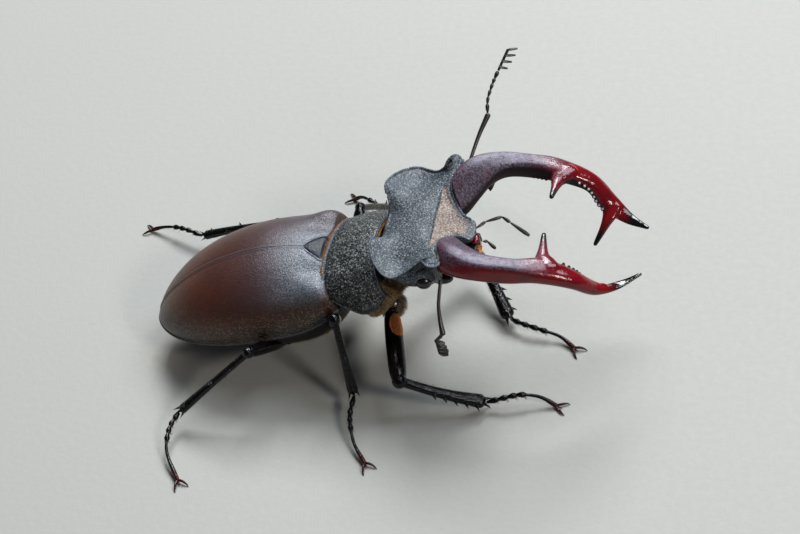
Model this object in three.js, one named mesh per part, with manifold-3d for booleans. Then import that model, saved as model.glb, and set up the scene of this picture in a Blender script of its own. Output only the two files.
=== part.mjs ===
// Male stag beetle (Lucanus cervus, major form), life size, standing on six feet with its head raised.
// Millimetres, +Z up, +X towards the mandible tips, +Y the beetle's left. The feet stand on z = 0 and the
// origin is on that floor, in the middle of the beetle's outline seen from above.
import * as THREE from "three";
import { mergeVertices } from "three/addons/utils/BufferGeometryUtils.js";
import Module from "manifold-3d";

const wasm = await Module();
wasm.setup();

// ---------------------------------------------------------------- driving dimensions
const GAP = 0.3; // clearance between touching plates
const ORIGIN_SHIFT = [-1.59, 0.455]; // from the base of the elytra to the middle of the outline

// Pose of the three body regions: where each has its origin, then yaw, pitch (nose up) and roll in degrees.
// The prothorax and the head are placed in the hind body's frame.
const HIND_BODY = { at: [0, 0, 13.63], yaw: 0, pitch: 11.3, roll: 2.6 };
const FORE_BODY = { at: [-0.36, 0, -0.35], yaw: -4.7, pitch: 13, roll: -5.6 };
const HEAD_POSE = { at: [9.15, 0.06, 5.51], yaw: -4.3, pitch: -12.3, roll: -1 };

// Elytra: x runs back from the base of the suture.
const ELYTRA = {
  front: -0.9,
  widest: -12,
  apex: -32.9,
  halfWidth: 10.55,
  crown: 7.55, // height of the suture at the widest place
  frontDrop: 2.9, // how much lower the suture is at the base
  rim: -1.1, // height of the side margin
  shoulderRise: 1.6, // how much higher the margin is at the base
  thickness: 1,
};
const SCUTELLUM = { front: -1.4, tip: -4.8, halfWidth: 2.1, thickness: 0.9 };
const HIND_THORAX = { front: -1.1, rear: -12.9, depth: 6.7 };
const ABDOMEN = { front: -13.2, rear: -31.4, depth: 6.4 };

// Pronotum: x runs forward from its rear margin; each station is [x, half width, rim height, crown height].
const PRONOTUM = [
  [0.1, 8, 2.2, 5.4],
  [1.5, 8.6, 1.1, 5.7],
  [3.3, 9.3, -0.2, 5.8],
  [5.2, 9.8, -1.3, 5.6],
  [7, 9.3, -1.4, 5.2],
  [8.8, 7.9, -0.7, 4.6],
];
const PROTHORAX = { depth: 5.6, wall: 1, inset: 1.32 };
const DOME = { side: 0.88, top: 0.9, belly: 0.85 }; // powers that round the cross sections off

// Head plateau, left half, from the nape round to the clypeus: [x, y, height of the edge].
const HEAD_CENTRE = [4, 0];
const HEAD_CROWN = 3.5;
const HEAD_OUTLINE = [
  [-0.7, 0, 1.6],
  [-0.55, 2.5, 1.8],
  [-1.3, 4.9, 4.2],
  [-1.3, 6.6, 3.9],
  [-0.5, 8.6, 3.3],
  [0.9, 10.2, 2.6],
  [2.4, 10.8, 2.3],
  [3.8, 10.2, 2.5],
  [5.6, 9.2, 3.2],
  [6.8, 9.1, 4.1],
  [7.35, 9.95, 4.75],
  [8.3, 10.8, 4.95],
  [9.5, 10.15, 4.5],
  [9.2, 8.2, 4.3],
  [8.5, 6.5, 4.0],
  [8.7, 4.9, 3.4],
  [9.6, 3.3, 2.6],
  [10.6, 2.1, 1.7],
  [12.1, 1.8, 0.6],
  [12.6, 0, 0.5],
];
const CRANIUM = { halfWidth: 8.5, front: 5.5, rear: 5.6, depth: 4.9, squareness: 2.8 };
const EYE = { at: [6.4, 8.7, -1.1], radii: [1.35, 1, 1.2] };
const NECK = { start: 8.75, end: 0.6, halfWidth: 5.6 };

// Mandible, left: centre line with [x, y, z, half width, half height, twist about the line in degrees].
const MANDIBLE = [
  [8.8, 5.2, 1.5, 2.7, 2.5, 31],
  [11.8, 8.25, 3.4, 2.65, 2.3, 38],
  [15.3, 9.8, 3.85, 1.85, 1.8, 22],
  [19.7, 10.0, 3.45, 1.5, 1.8, 5],
  [23.8, 9.5, 3.05, 1.85, 1.45, -13],
  [27.9, 9.2, 1.0, 1.45, 1.25, 2],
  [30.3, 8.1, -1.85, 1.4, 0.95, 12],
  [33.2, 6.35, -3.35, 0.95, 0.45, 16],
  [36.3, 4.3, -3.1, 0.32, 0.27, 20],
];
const MEDIAN_TOOTH = { root: [24.0, 9.0, 3.1], tip: [23.4, 3.5, 3.95], radius: 1.8 };
const INNER_PRONG = { root: [31.0, 6.9, -2.4], tip: [28.7, 2.65, -4.95], radius: 1.1 };
const DENTICLES = { first: 0.565, last: 0.7, count: 5, radius: 0.42 }; // places as shares of the centre line

// Feelers and palps in the head's frame: joints along the middle, with the radius at each joint.
const ANTENNAE = {
  left: {
    scape: [[9.3, 9.9, 0.2], [9.9, 12.6, 1.9], [12.1, 17.9, 5.8]],
    stalk: [[12.1, 18.3, 6.1], [12.8, 20.6, 8.1], [13.4, 22.4, 9.7]],
    club: [[13.6, 22.9, 10.2], [15.1, 25.0, 12.5]],
    bend: [0.25, -0.9, 0.35],
  },
  right: {
    scape: [[9.1, -9.6, 0.6], [8.9, -12.1, -1.5], [9.5, -15, -4.5]],
    stalk: [[9.2, -14.9, -5.0], [8.2, -13.8, -7.2], [7.4, -12.9, -8.9]],
    club: [[7.3, -12.7, -9.3], [7.1, -12.2, -12.6]],
    bend: [0.9, 0.2, -0.35],
  },
};
const FEELER_RADIUS = { scapeRoot: 0.3, scapeTip: 0.45, stalk: 0.29, clubStem: 0.34, lamella: 0.95 };
const MAXILLARY_PALPS = {
  left: [[12.7, 1.9, -1.4], [13.2, 3.1, -1.0], [15.4, 4.2, -1.1], [17.4, 3.5, -2.3], [19.4, 2.7, -3.5]],
  right: [[12.7, -2.1, -1.7], [13.7, -3.5, -2.2], [15.2, -4.8, -2.9], [16.8, -5.0, -3.9], [18.2, -4.7, -4.9]],
};
const LABIAL_PALPS = {
  left: [[12.9, 0.9, -2.8], [13.4, 1.2, -3.1], [14.6, 0.6, -4.0]],
  right: [[12.9, -0.9, -2.9], [13.6, -1.6, -3.5], [14.5, -2.3, -4.5]],
};
const PALP_RADIUS = { root: 0.3, tip: 0.26 };
const LABRUM = { at: [12.6, 0, -0.9], radii: [0.75, 1.3, 0.4] };
const MOUTH = { front: 12.4, rear: 9.9, halfWidth: 3.1, top: -1.7, depth: 2.6 };

// Legs, seen from the floor: hip, knee, heel (the end of the tibia) and claw.
const LEGS = {
  fore_right: {
    hip: [6.1, -5.3, 9.3],
    knee: [8.6, -17.4, 7.7],
    heel: [20.1, -16.5, 1.5],
    claw: [31.1, -16.6, 0.3],
  },
  mid_right: {
    hip: [-2.8, -6, 8.6],
    knee: [-0.2, -11.9, 15.3],
    heel: [0.6, -15.7, 3],
    claw: [3.6, -27.4, 0.3],
  },
  hind_right: {
    hip: [-10.8, -6, 4.8],
    knee: [-13.6, -14.4, 11.5],
    heel: [-26.1, -18, 2.7],
    claw: [-24.4, -30, 0.3],
  },
  fore_left: {
    hip: [6.9, 4.6, 9.3],
    knee: [15, 11.2, 6.9],
    heel: [22, -0.6, 1.8],
    claw: [32.7, -6, 0.3],
  },
  mid_left: {
    hip: [-1.5, 6.6, 7.2],
    knee: [-1.6, 15.6, 10.5],
    heel: [0.3, 23.5, 2.4],
    claw: [-7.0, 28.3, 0.3],
  },
  hind_left: {
    hip: [-10.8, 6.8, 5.3],
    knee: [-15.8, 16.6, 7],
    heel: [-30.1, 19, 2.6],
    claw: [-40.9, 23.4, 0.3],
  },
};
const LEG_SIZES = {
  fore: { coxa: 1.9, femur: 1.28, tibia: 0.8, tarsus: 0.42, spines: 4 },
  mid: { coxa: 1.6, femur: 1.08, tibia: 0.66, tarsus: 0.4, spines: 3 },
  hind: { coxa: 1.5, femur: 1.08, tibia: 0.64, tarsus: 0.4, spines: 2 },
};
const COXA_REACH = 3.6; // length of a coxa, from its hip towards the middle of the body
const TARSUS = { segments: 5, arch: 0.7, claw: 0.34, clawTip: 0.26 };
const SPINE = { root: 0.5, tip: 0.26 }; // radii of the tibial spines

// ---------------------------------------------------------------- materials
const finish = (color, roughness) => new THREE.MeshStandardMaterial({ color, roughness, metalness: 0 });
const SHELL = finish(0x2e1a18, 0.45);
const BLACK_SHELL = finish(0x1d1e20, 0.6);
const HEAD_SHELL = finish(0x26282b, 0.65);
const MANDIBLE_RED = finish(0x4a0d10, 0.25);
const LEG_BLACK = finish(0x0d0b0b, 0.2);
const EYE_BLACK = finish(0x060606, 0.1);
const FEELER_BROWN = finish(0x1d1614, 0.35);
const MEMBRANE = finish(0x6d4f2a, 0.8);

// ---------------------------------------------------------------- small geometry kit
const v3 = (p) => new THREE.Vector3(p[0], p[1], p[2]);
const clamp01 = (t) => Math.min(1, Math.max(0, t));
const mix = (a, b, t) => a + (b - a) * t;
const smooth = (t) => clamp01(t) ** 2 * (3 - 2 * clamp01(t));

/** Catmull-Rom value at t (0 to 1) through rows of numbers, one result for each column. */
function through(rows, t) {
  const span = clamp01(t) * (rows.length - 1);
  const i = Math.min(Math.floor(span), rows.length - 2);
  const u = span - i;
  return rows[i].map((p1, k) => {
    const p2 = rows[i + 1][k];
    const p0 = i > 0 ? rows[i - 1][k] : 2 * p1 - p2;
    const p3 = i + 2 < rows.length ? rows[i + 2][k] : 2 * p2 - p1;
    const m1 = (p2 - p0) / 2;
    const m2 = (p3 - p1) / 2;
    return (
      p1 * (2 * u ** 3 - 3 * u ** 2 + 1) + m1 * (u ** 3 - 2 * u ** 2 + u) +
      p2 * (-2 * u ** 3 + 3 * u ** 2) + m2 * (u ** 3 - u ** 2)
    );
  });
}

/** A geometry from points and triangles, turned so that its faces point out. */
function surface(points, triangles) {
  let volume = 0;
  for (const [a, b, c] of triangles) {
    volume += points[a].dot(new THREE.Vector3().crossVectors(points[b], points[c]));
  }
  const order = volume < 0 ? triangles.map(([a, b, c]) => [a, c, b]) : triangles;
  return new THREE.BufferGeometry().setFromPoints(points).setIndex(order.flat());
}

/** Closed solid through rings that all have the same number of points; each end is a fan round its middle. */
function loft(rings) {
  const count = rings[0].length;
  const points = rings.flat();
  const triangles = [];
  for (let i = 0; i < rings.length - 1; i++) {
    for (let j = 0; j < count; j++) {
      const a = i * count + j;
      const b = i * count + ((j + 1) % count);
      triangles.push([a, b, b + count], [a, b + count, a + count]);
    }
  }
  for (const [ring, flip] of [[0, true], [rings.length - 1, false]]) {
    const middle = new THREE.Vector3();
    rings[ring].forEach((p) => middle.addScaledVector(p, 1 / count));
    const m = points.push(middle) - 1;
    for (let j = 0; j < count; j++) {
      const a = ring * count + j;
      const b = ring * count + ((j + 1) % count);
      triangles.push(flip ? [m, b, a] : [m, a, b]);
    }
  }
  return surface(points, triangles);
}

/** Closed plate between two grids of points, with walls round all four borders. */
function plate(outer, inner) {
  const rows = outer.length;
  const cols = outer[0].length;
  const points = [...outer.flat(), ...inner.flat()];
  const id = (side, i, j) => side * rows * cols + i * cols + j;
  const triangles = [];
  const quad = (a, b, c, d) => triangles.push([a, b, c], [a, c, d]);
  for (let i = 0; i < rows - 1; i++) {
    for (let j = 0; j < cols - 1; j++) {
      quad(id(0, i, j), id(0, i, j + 1), id(0, i + 1, j + 1), id(0, i + 1, j));
      quad(id(1, i, j), id(1, i + 1, j), id(1, i + 1, j + 1), id(1, i, j + 1));
    }
    quad(id(0, i, 0), id(0, i + 1, 0), id(1, i + 1, 0), id(1, i, 0));
    quad(id(0, i + 1, cols - 1), id(0, i, cols - 1), id(1, i, cols - 1), id(1, i + 1, cols - 1));
  }
  for (let j = 0; j < cols - 1; j++) {
    quad(id(0, 0, j + 1), id(0, 0, j), id(1, 0, j), id(1, 0, j + 1));
    quad(id(0, rows - 1, j), id(0, rows - 1, j + 1), id(1, rows - 1, j + 1), id(1, rows - 1, j));
  }
  return surface(points, triangles);
}

/** Tube along joints [x, y, z, half width, half height, twist]; without a twist the half width is level. */
function limb(joints, { sides = 8, steps = 8, grow = 0 } = {}) {
  const rings = [];
  const at = (t) => v3(through(joints, t));
  for (let i = 0; i <= steps; i++) {
    const t = i / steps;
    const [, , , width, height, twist = 0] = through(joints, t);
    const tangent = at(t + 0.01).sub(at(t - 0.01)).normalize();
    const level = new THREE.Vector3(0, 0, 1).cross(tangent);
    if (level.lengthSq() < 1e-3) level.set(0, 1, 0);
    level.normalize().applyAxisAngle(tangent, THREE.MathUtils.degToRad(twist));
    const upright = new THREE.Vector3().crossVectors(tangent, level);
    const ring = [];
    for (let j = 0; j < sides; j++) {
      const a = (2 * Math.PI * (j + 0.5)) / sides;
      ring.push(
        at(t)
          .addScaledVector(level, (width + grow) * Math.cos(a))
          .addScaledVector(upright, (height + grow) * Math.sin(a)),
      );
    }
    rings.push(ring);
  }
  return loft(rings);
}

/** Round tube through points, with one radius at the start and one at the end. */
function rod(points, start, end, options) {
  const last = points.length - 1;
  const joints = points.map((p, i) => [...p, mix(start, end, i / last), mix(start, end, i / last)]);
  return limb(joints, { steps: 2 * last, ...options });
}

/** Ellipsoid. */
function bead(at, radii, { grow = 0, around = 10, down = 7 } = {}) {
  return new THREE.SphereGeometry(1, around, down)
    .scale(radii[0] + grow, radii[1] + grow, radii[2] + grow)
    .translate(...at);
}

function solidOf(geometry) {
  const bare = geometry.clone();
  bare.deleteAttribute("normal");
  bare.deleteAttribute("uv");
  const merged = mergeVertices(bare, 1e-3);
  return new wasm.Manifold(
    new wasm.Mesh({
      numProp: 3,
      vertProperties: new Float32Array(merged.attributes.position.array),
      triVerts: new Uint32Array(merged.index.array),
    }),
  );
}

function geometryOf(solid) {
  const mesh = solid.getMesh();
  return new THREE.BufferGeometry()
    .setAttribute("position", new THREE.BufferAttribute(mesh.vertProperties, 3))
    .setIndex(new THREE.BufferAttribute(mesh.triVerts, 1));
}

const join = (first, ...others) =>
  geometryOf(others.reduce((solid, other) => solid.add(solidOf(other)), solidOf(first)));
const carve = (first, ...tools) =>
  geometryOf(tools.reduce((solid, tool) => solid.subtract(solidOf(tool)), solidOf(first)));

/** Mirror image across the middle plane, with its faces turned back out. */
function mirrored(geometry) {
  const copy = geometry.clone().scale(1, -1, 1);
  const index = copy.index.array;
  for (let i = 0; i < index.length; i += 3) [index[i + 1], index[i + 2]] = [index[i + 2], index[i + 1]];
  return copy;
}

// ---------------------------------------------------------------- scene graph
const beetle = new THREE.Group();
const hindBody = new THREE.Group();
const foreBody = new THREE.Group();
const headGroup = new THREE.Group();
beetle.add(hindBody);
hindBody.add(foreBody, headGroup);
const radians = THREE.MathUtils.degToRad;
for (const [group, pose] of [[hindBody, HIND_BODY], [foreBody, FORE_BODY], [headGroup, HEAD_POSE]]) {
  group.position.set(...pose.at);
  group.rotation.set(radians(pose.roll), -radians(pose.pitch), radians(pose.yaw), "ZYX");
}
beetle.updateMatrixWorld(true);

function node(group, name, geometry, material) {
  const mesh = new THREE.Mesh(geometry, material);
  mesh.name = name;
  group.add(mesh);
}

/** A geometry made in one group's frame, as it lies in another's. */
function seenFrom(group, geometry, from = beetle) {
  const matrix = group.matrixWorld.clone().invert().multiply(from.matrixWorld);
  return geometry.clone().applyMatrix4(matrix);
}

// ---------------------------------------------------------------- elytra, scutellum, hind body
const rearShare = (x) => clamp01((ELYTRA.widest - x) / (ELYTRA.widest - ELYTRA.apex));
const frontShare = (x) => clamp01((x - ELYTRA.widest) / (ELYTRA.front - ELYTRA.widest));

function elytraSection(x) {
  const back = rearShare(x);
  const fore = frontShare(x);
  return {
    halfWidth: ELYTRA.halfWidth * (1 - back ** 2.2) ** 0.5 * (1 - fore ** 4) ** 0.226,
    crown: mix(ELYTRA.rim, ELYTRA.crown, (1 - back ** 2) ** 0.8) - ELYTRA.frontDrop * fore ** 1.8,
    rim: ELYTRA.rim + ELYTRA.shoulderRise * fore ** 3,
  };
}

/** Point of a dome's section: t runs from the crown (0) to the rim (1). */
function domePoint(x, { halfWidth, crown, rim }, t) {
  const a = (t * Math.PI) / 2;
  const y = halfWidth * Math.sin(a) ** DOME.side;
  return new THREE.Vector3(x, y, rim + (crown - rim) * Math.cos(a) ** DOME.top);
}

/** Ring round a trunk: dome from the rim to the crown above, rounded belly of the given depth below. */
function trunkRing(x, { halfWidth, crown, rim }, depth, sides) {
  const ring = [];
  for (let j = 0; j < sides; j++) {
    const a = (2 * Math.PI * (j + 0.5)) / sides;
    const up = Math.cos(a);
    const y = halfWidth * Math.sign(Math.sin(a)) * Math.abs(Math.sin(a)) ** DOME.side;
    const z = up > 0 ? rim + (crown - rim) * up ** DOME.top : rim - depth * Math.abs(up) ** DOME.belly;
    ring.push(new THREE.Vector3(x, y, z));
  }
  return ring;
}

const scutellumHalfWidth = (x) =>
  x < SCUTELLUM.tip ? 0 : SCUTELLUM.halfWidth * clamp01((x - SCUTELLUM.tip) / 2.6) ** 0.8;

function elytron() {
  const rows = 12;
  const cols = 7;
  const outer = [];
  const inner = [];
  for (let i = 0; i < rows; i++) {
    const share = i / (rows - 1);
    const crowded = mix(share, smooth(share), 0.6);
    const x = mix(ELYTRA.front - 0.25, ELYTRA.apex + 0.35, crowded);
    const section = elytraSection(x);
    const wall = Math.min(ELYTRA.thickness, section.halfWidth * 0.4);
    const hollow = {
      halfWidth: section.halfWidth - wall,
      crown: Math.max(section.crown - wall, section.rim + 0.2),
      rim: section.rim,
    };
    const seam = Math.max(GAP / 2, scutellumHalfWidth(x) + GAP * 1.4);
    const start = (s) => (Math.asin(Math.min(0.9, seam / s.halfWidth) ** (1 / DOME.side)) * 2) / Math.PI;
    outer.push([]);
    inner.push([]);
    for (let j = 0; j < cols; j++) {
      outer[i].push(domePoint(x, section, mix(start(section), 1, j / (cols - 1))));
      inner[i].push(domePoint(x, hollow, mix(start(hollow), 1, j / (cols - 1))));
    }
  }
  return plate(outer, inner);
}

function scutellum() {
  const top = [];
  const bottom = [];
  for (let i = 0; i <= 5; i++) {
    const x = mix(SCUTELLUM.front, SCUTELLUM.tip + 0.12, i / 5);
    const section = elytraSection(x);
    const half = Math.max(0.12, scutellumHalfWidth(x));
    const across = [-1, -0.5, 0, 0.5, 1].map((k) => {
      const t = (Math.asin((Math.abs(k) * half) / section.halfWidth) * 2) / Math.PI;
      const p = domePoint(x, section, t);
      return new THREE.Vector3(x, k * half, p.z);
    });
    top.push(across);
    bottom.push(across.map((p) => p.clone().setZ(p.z - SCUTELLUM.thickness)));
  }
  return plate(top, bottom);
}

/** Trunk under the elytra between two places: dome above, keeled belly below. */
function trunk(front, rear, depthAt, rows) {
  const inset = ELYTRA.thickness + GAP;
  const rings = [];
  for (let i = 0; i <= rows; i++) {
    const x = mix(front, rear, i / rows);
    const section = elytraSection(x);
    const rim = section.rim - 0.1;
    const shape = {
      halfWidth: Math.max(0.5, section.halfWidth - inset),
      crown: Math.max(rim + 0.2, section.crown - inset),
      rim,
    };
    rings.push(trunkRing(x, shape, depthAt(x), 16));
  }
  return loft(rings);
}

const thoraxDepth = (x) => HIND_THORAX.depth - 0.9 + 0.9 * smooth((ELYTRA.front - x) / 5);
const abdomenDepth = (x) => (ABDOMEN.depth - 1) * (1 - clamp01((ABDOMEN.front - x) / 19.6) ** 2) ** 0.6;

// ---------------------------------------------------------------- prothorax
function pronotumSection(x) {
  const first = PRONOTUM[0][0];
  const last = PRONOTUM[PRONOTUM.length - 1][0];
  let t = (x - first) / (last - first);
  for (let k = 0; k < 6; k++) t += (x - through(PRONOTUM, t)[0]) / (last - first);
  const [, halfWidth, rim, crown] = through(PRONOTUM, t);
  return { halfWidth, rim, crown };
}

function pronotum() {
  const outer = [];
  const inner = [];
  const rows = 7;
  for (let i = 0; i < rows; i++) {
    const x = mix(PRONOTUM[0][0], PRONOTUM[PRONOTUM.length - 1][0], i / (rows - 1));
    const section = pronotumSection(x);
    const hollow = {
      halfWidth: section.halfWidth - PROTHORAX.wall,
      crown: section.crown - PROTHORAX.wall,
      rim: section.rim,
    };
    const sweep = (s) => {
      const row = [];
      for (let j = -6; j <= 6; j++) {
        const p = domePoint(x, s, Math.abs(j) / 6);
        row.push(p.setY(Math.sign(j) * p.y));
      }
      return row;
    };
    outer.push(sweep(section));
    inner.push(sweep(hollow));
  }
  return plate(outer, inner);
}

/** Solid through the whole prothorax, inset from the pronotum's outer face; a negative inset stands proud. */
function prothoraxSolid(inset, overhang) {
  const rings = [];
  const rows = 5;
  for (let i = 0; i <= rows; i++) {
    const share = i / rows;
    const x = mix(PRONOTUM[0][0], PRONOTUM[PRONOTUM.length - 1][0], share);
    const { halfWidth, crown, rim } = pronotumSection(x);
    const depth = PROTHORAX.depth * (0.72 + 0.28 * Math.sin(Math.PI * clamp01(share * 1.1))) + rim;
    const shape = { halfWidth: halfWidth - inset, crown: crown - inset, rim: rim - 0.15 };
    rings.push(trunkRing(x + overhang * (2 * share - 1), shape, depth, 16));
  }
  return loft(rings);
}

// ---------------------------------------------------------------- head
/** The whole plateau outline as samples, left side then right side. */
function headEdge(count) {
  const samples = [];
  for (let i = 0; i < count; i++) {
    const t = (2 * i) / count;
    const [x, y, z] = through(HEAD_OUTLINE, t <= 1 ? t : 2 - t);
    samples.push(new THREE.Vector3(x, t <= 1 ? y : -y, z));
  }
  return samples;
}

/** Point of the cranium's side under an edge sample, at a share of its full girth. */
function craniumPoint(edge, share, z) {
  const dx = edge.x - HEAD_CENTRE[0];
  const dy = edge.y;
  const reach = Math.hypot(dx, dy);
  const along = dx > 0 ? CRANIUM.front : CRANIUM.rear;
  const power = CRANIUM.squareness;
  const forward = Math.abs(dx / reach / along) ** power;
  const sideways = Math.abs(dy / reach / CRANIUM.halfWidth) ** power;
  const girth = share / (forward + sideways) ** (1 / power);
  return new THREE.Vector3(HEAD_CENTRE[0] + (dx / reach) * girth, (dy / reach) * girth, z);
}

function head(grow = 0) {
  const edge = headEdge(36);
  const centre = new THREE.Vector3(HEAD_CENTRE[0], HEAD_CENTRE[1], 0);
  const toward = (p, share, z) => p.clone().setZ(0).lerp(centre, 1 - share).setZ(z);
  const push = (p, by) => {
    const out = p.clone().sub(centre).setZ(0).normalize();
    return p.clone().addScaledVector(out, by);
  };
  const rings = [
    edge.map((p) => craniumPoint(p, 0.55, -CRANIUM.depth)),
    edge.map((p) => craniumPoint(p, 0.86, -3.6)),
    edge.map((p) => craniumPoint(p, 1, -1.4)),
    edge.map((p) => craniumPoint(p, 1, Math.min(p.z - 1.5, 1))),
    edge.map((p) => toward(p, 0.97, p.z - 0.6)),
    edge,
    edge.map((p) => toward(p, 0.84, mix(p.z, HEAD_CROWN, 0.3))),
    edge.map((p) => toward(p, 0.5, mix(p.z, HEAD_CROWN, 0.75))),
    edge.map((p) => toward(p, 0.18, mix(p.z, HEAD_CROWN, 0.97))),
  ];
  const tall = (ring, i) => ring.map((p) => push(p, grow).setZ(p.z + (i < 4 ? -grow : grow)));
  return loft(grow ? rings.map(tall) : rings);
}

/** Membrane between the prothorax and the head, in the head's frame. */
function neck() {
  const ring = (x, low, high) => {
    const points = [];
    for (let j = 0; j < 16; j++) {
      const a = (2 * Math.PI * j) / 16;
      points.push(new THREE.Vector3(x, NECK.halfWidth * Math.cos(a), mix(low, high, (1 + Math.sin(a)) / 2)));
    }
    return points;
  };
  const intoHead = headGroup.matrixWorld.clone().invert().multiply(foreBody.matrixWorld);
  const behind = ring(NECK.start, -3.6, 3.6).map((p) => p.applyMatrix4(intoHead));
  return loft([behind, ring(NECK.end, -3.4, 1.6)]);
}

function mandible(shaped = (geometry) => geometry) {
  const beam = limb(MANDIBLE, { sides: 8, steps: 14 });
  const spike = ({ root, tip, radius }, belly) => {
    const middle = root.map((r, k) => mix(r, tip[k], 0.45));
    return limb(
      [
        [...root, radius, radius * 0.9],
        [...middle, radius * belly, radius * belly],
        [...tip, 0.16, 0.16],
      ],
      { sides: 6, steps: 3 },
    );
  };
  const denticles = [];
  for (let i = 0; i < DENTICLES.count; i++) {
    const share = i / (DENTICLES.count - 1);
    const [x, y, z, width] = through(MANDIBLE, mix(DENTICLES.first, DENTICLES.last, share));
    const radius = DENTICLES.radius * mix(0.9, 1.5, share ** 3);
    denticles.push(bead([x - 0.3, y - width, z], [radius, radius, radius], { around: 5, down: 4 }));
  }
  const whole = join(beam, spike(MEDIAN_TOOTH, 0.5), spike(INNER_PRONG, 0.62), ...denticles);
  return carve(shaped(whole), head(2 * GAP));
}

function antennaClub({ club, bend }) {
  const [root, tip] = club.map(v3);
  const along = tip.clone().sub(root);
  const side = v3(bend).cross(along).cross(along).normalize().negate();
  const stem = rod(club, FEELER_RADIUS.clubStem, FEELER_RADIUS.clubStem, { sides: 5, steps: 1 });
  const lamellae = [];
  for (let i = 0; i < 4; i++) {
    const base = root.clone().addScaledVector(along, 0.14 + 0.26 * i);
    const end = base.clone().addScaledVector(side, FEELER_RADIUS.lamella * 1.5);
    lamellae.push(rod([base.toArray(), end.toArray()], 0.4, 0.27, { sides: 4, steps: 1 }));
  }
  return join(stem, ...lamellae);
}

function mouthparts() {
  const rings = [];
  for (let i = 0; i <= 3; i++) {
    const share = i / 3;
    const half = MOUTH.halfWidth * (1 - 0.35 * share);
    const low = MOUTH.top - MOUTH.depth * (1 - 0.45 * share);
    const ring = [];
    for (let j = 0; j < 12; j++) {
      const a = (2 * Math.PI * j) / 12;
      const z = mix(low, MOUTH.top, (1 + Math.sin(a)) / 2);
      ring.push(new THREE.Vector3(mix(MOUTH.rear, MOUTH.front, share), half * Math.cos(a), z));
    }
    rings.push(ring);
  }
  return loft(rings);
}

// ---------------------------------------------------------------- legs
const lerp3 = (a, b, t) => a.map((p, k) => mix(p, b[k], t));

/** Presses everything under the floor's level, z = 0, flat onto it. */
function standFlat(geometry) {
  const place = geometry.attributes.position;
  for (let i = 0; i < place.count; i++) place.setZ(i, Math.max(0, place.getZ(i)));
  return geometry;
}

function coxa(leg, size, grow = 0) {
  const inward = -Math.sign(leg.hip[1]);
  const root = [leg.hip[0] - 0.2, leg.hip[1] + inward * COXA_REACH, leg.hip[2] - 0.2];
  const r = size.coxa;
  return limb(
    [
      [...root, r * 0.5, r * 0.5],
      [...lerp3(root, leg.hip, 0.35), r, r],
      [...lerp3(root, leg.hip, 0.75), r * 0.92, r * 0.92],
      [...leg.hip, r * 0.55, r * 0.55],
    ],
    { sides: 8, steps: 3, grow },
  );
}

/** Start of a femur, just outside its coxa. */
const hipSide = (leg) => {
  const way = v3(leg.knee).sub(v3(leg.hip)).normalize();
  return v3(leg.hip).addScaledVector(way, 0.75).toArray();
};

function femur(leg, size, grow = 0) {
  const start = hipSide(leg);
  const r = size.femur;
  return limb(
    [
      [...start, r * 0.6, r * 0.55],
      [...lerp3(start, leg.knee, 0.25), r * 0.95, r * 0.85],
      [...lerp3(start, leg.knee, 0.6), r, r * 0.9],
      [...lerp3(start, leg.knee, 0.91), r * 0.8, r * 0.75],
    ],
    { sides: 8, steps: 4, grow },
  );
}

function tibia(leg, size) {
  const way = v3(leg.heel).sub(v3(leg.knee)).normalize();
  const outside = v3(leg.knee).sub(v3(leg.hip)).projectOnPlane(way).normalize();
  const start = v3(leg.knee).addScaledVector(way, size.femur * 0.5).toArray();
  const end = lerp3(start, leg.heel, 0.955);
  const r = size.tibia;
  const shaft = limb(
    [
      [...start, r * 0.9, r * 0.9],
      [...lerp3(start, end, 0.12), r * 0.75, r * 0.75],
      [...lerp3(start, end, 0.55), r * 0.9, r * 0.85],
      [...lerp3(start, end, 0.85), r * 1.15, r],
      [...end, r * 1.2, r * 0.95],
    ],
    { sides: 6, steps: 6 },
  );
  const spines = [];
  for (let i = 0; i < size.spines; i++) {
    const share = mix(0.42, 0.94, (i + 0.5) / size.spines);
    const base = v3(lerp3(start, end, share));
    const tip = base.clone().addScaledVector(outside, r * 1.7).addScaledVector(way, r * 1.1);
    spines.push(rod([base.toArray(), tip.toArray()], SPINE.root, SPINE.tip, { sides: 4, steps: 1 }));
  }
  return join(shaft, ...spines);
}

function tarsus(leg, size) {
  const start = lerp3(leg.heel, leg.claw, 0.035);
  const joints = [];
  const steps = 2 * TARSUS.segments;
  for (let i = 0; i <= steps; i++) {
    const share = i / steps;
    const [x, y, z] = lerp3(start, leg.claw, share * 0.94);
    const arch = 1.4 * TARSUS.arch * Math.sin(Math.PI * share) * (1 - share);
    const radius = size.tarsus * (i % 2 ? 1.25 : 0.85);
    joints.push([x, y, z + arch, radius, radius]);
  }
  const foot = limb(joints, { sides: 5, steps });
  const way = v3(leg.claw).sub(v3(start)).setZ(0).normalize();
  const across = new THREE.Vector3(-way.y, way.x, 0);
  const root = v3(lerp3(start, leg.claw, 0.9));
  const claws = [-1, 1].map((side) => {
    const bend = root.clone().addScaledVector(way, 0.9).addScaledVector(across, side * 0.8).setZ(0.55);
    const tip = root.clone().addScaledVector(way, 1.7).addScaledVector(across, side * 1.15).setZ(0.12);
    const hook = [root.toArray(), bend.toArray(), tip.toArray()];
    return rod(hook, TARSUS.claw, TARSUS.clawTip, { sides: 4, steps: 2 });
  });
  return standFlat(join(foot, ...claws));
}

// ---------------------------------------------------------------- assembly
/** Coxae and femora of the legs named, a gap larger all round, as they lie in a group's frame. */
const coxaTools = (pairs, group) =>
  Object.entries(LEGS)
    .filter(([name]) => pairs.includes(name.split("_")[0]))
    .flatMap(([name, leg]) => {
      const size = LEG_SIZES[name.split("_")[0]];
      return [coxa(leg, size, GAP), femur(leg, size, GAP)].map((g) => seenFrom(group, g));
    });

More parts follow.
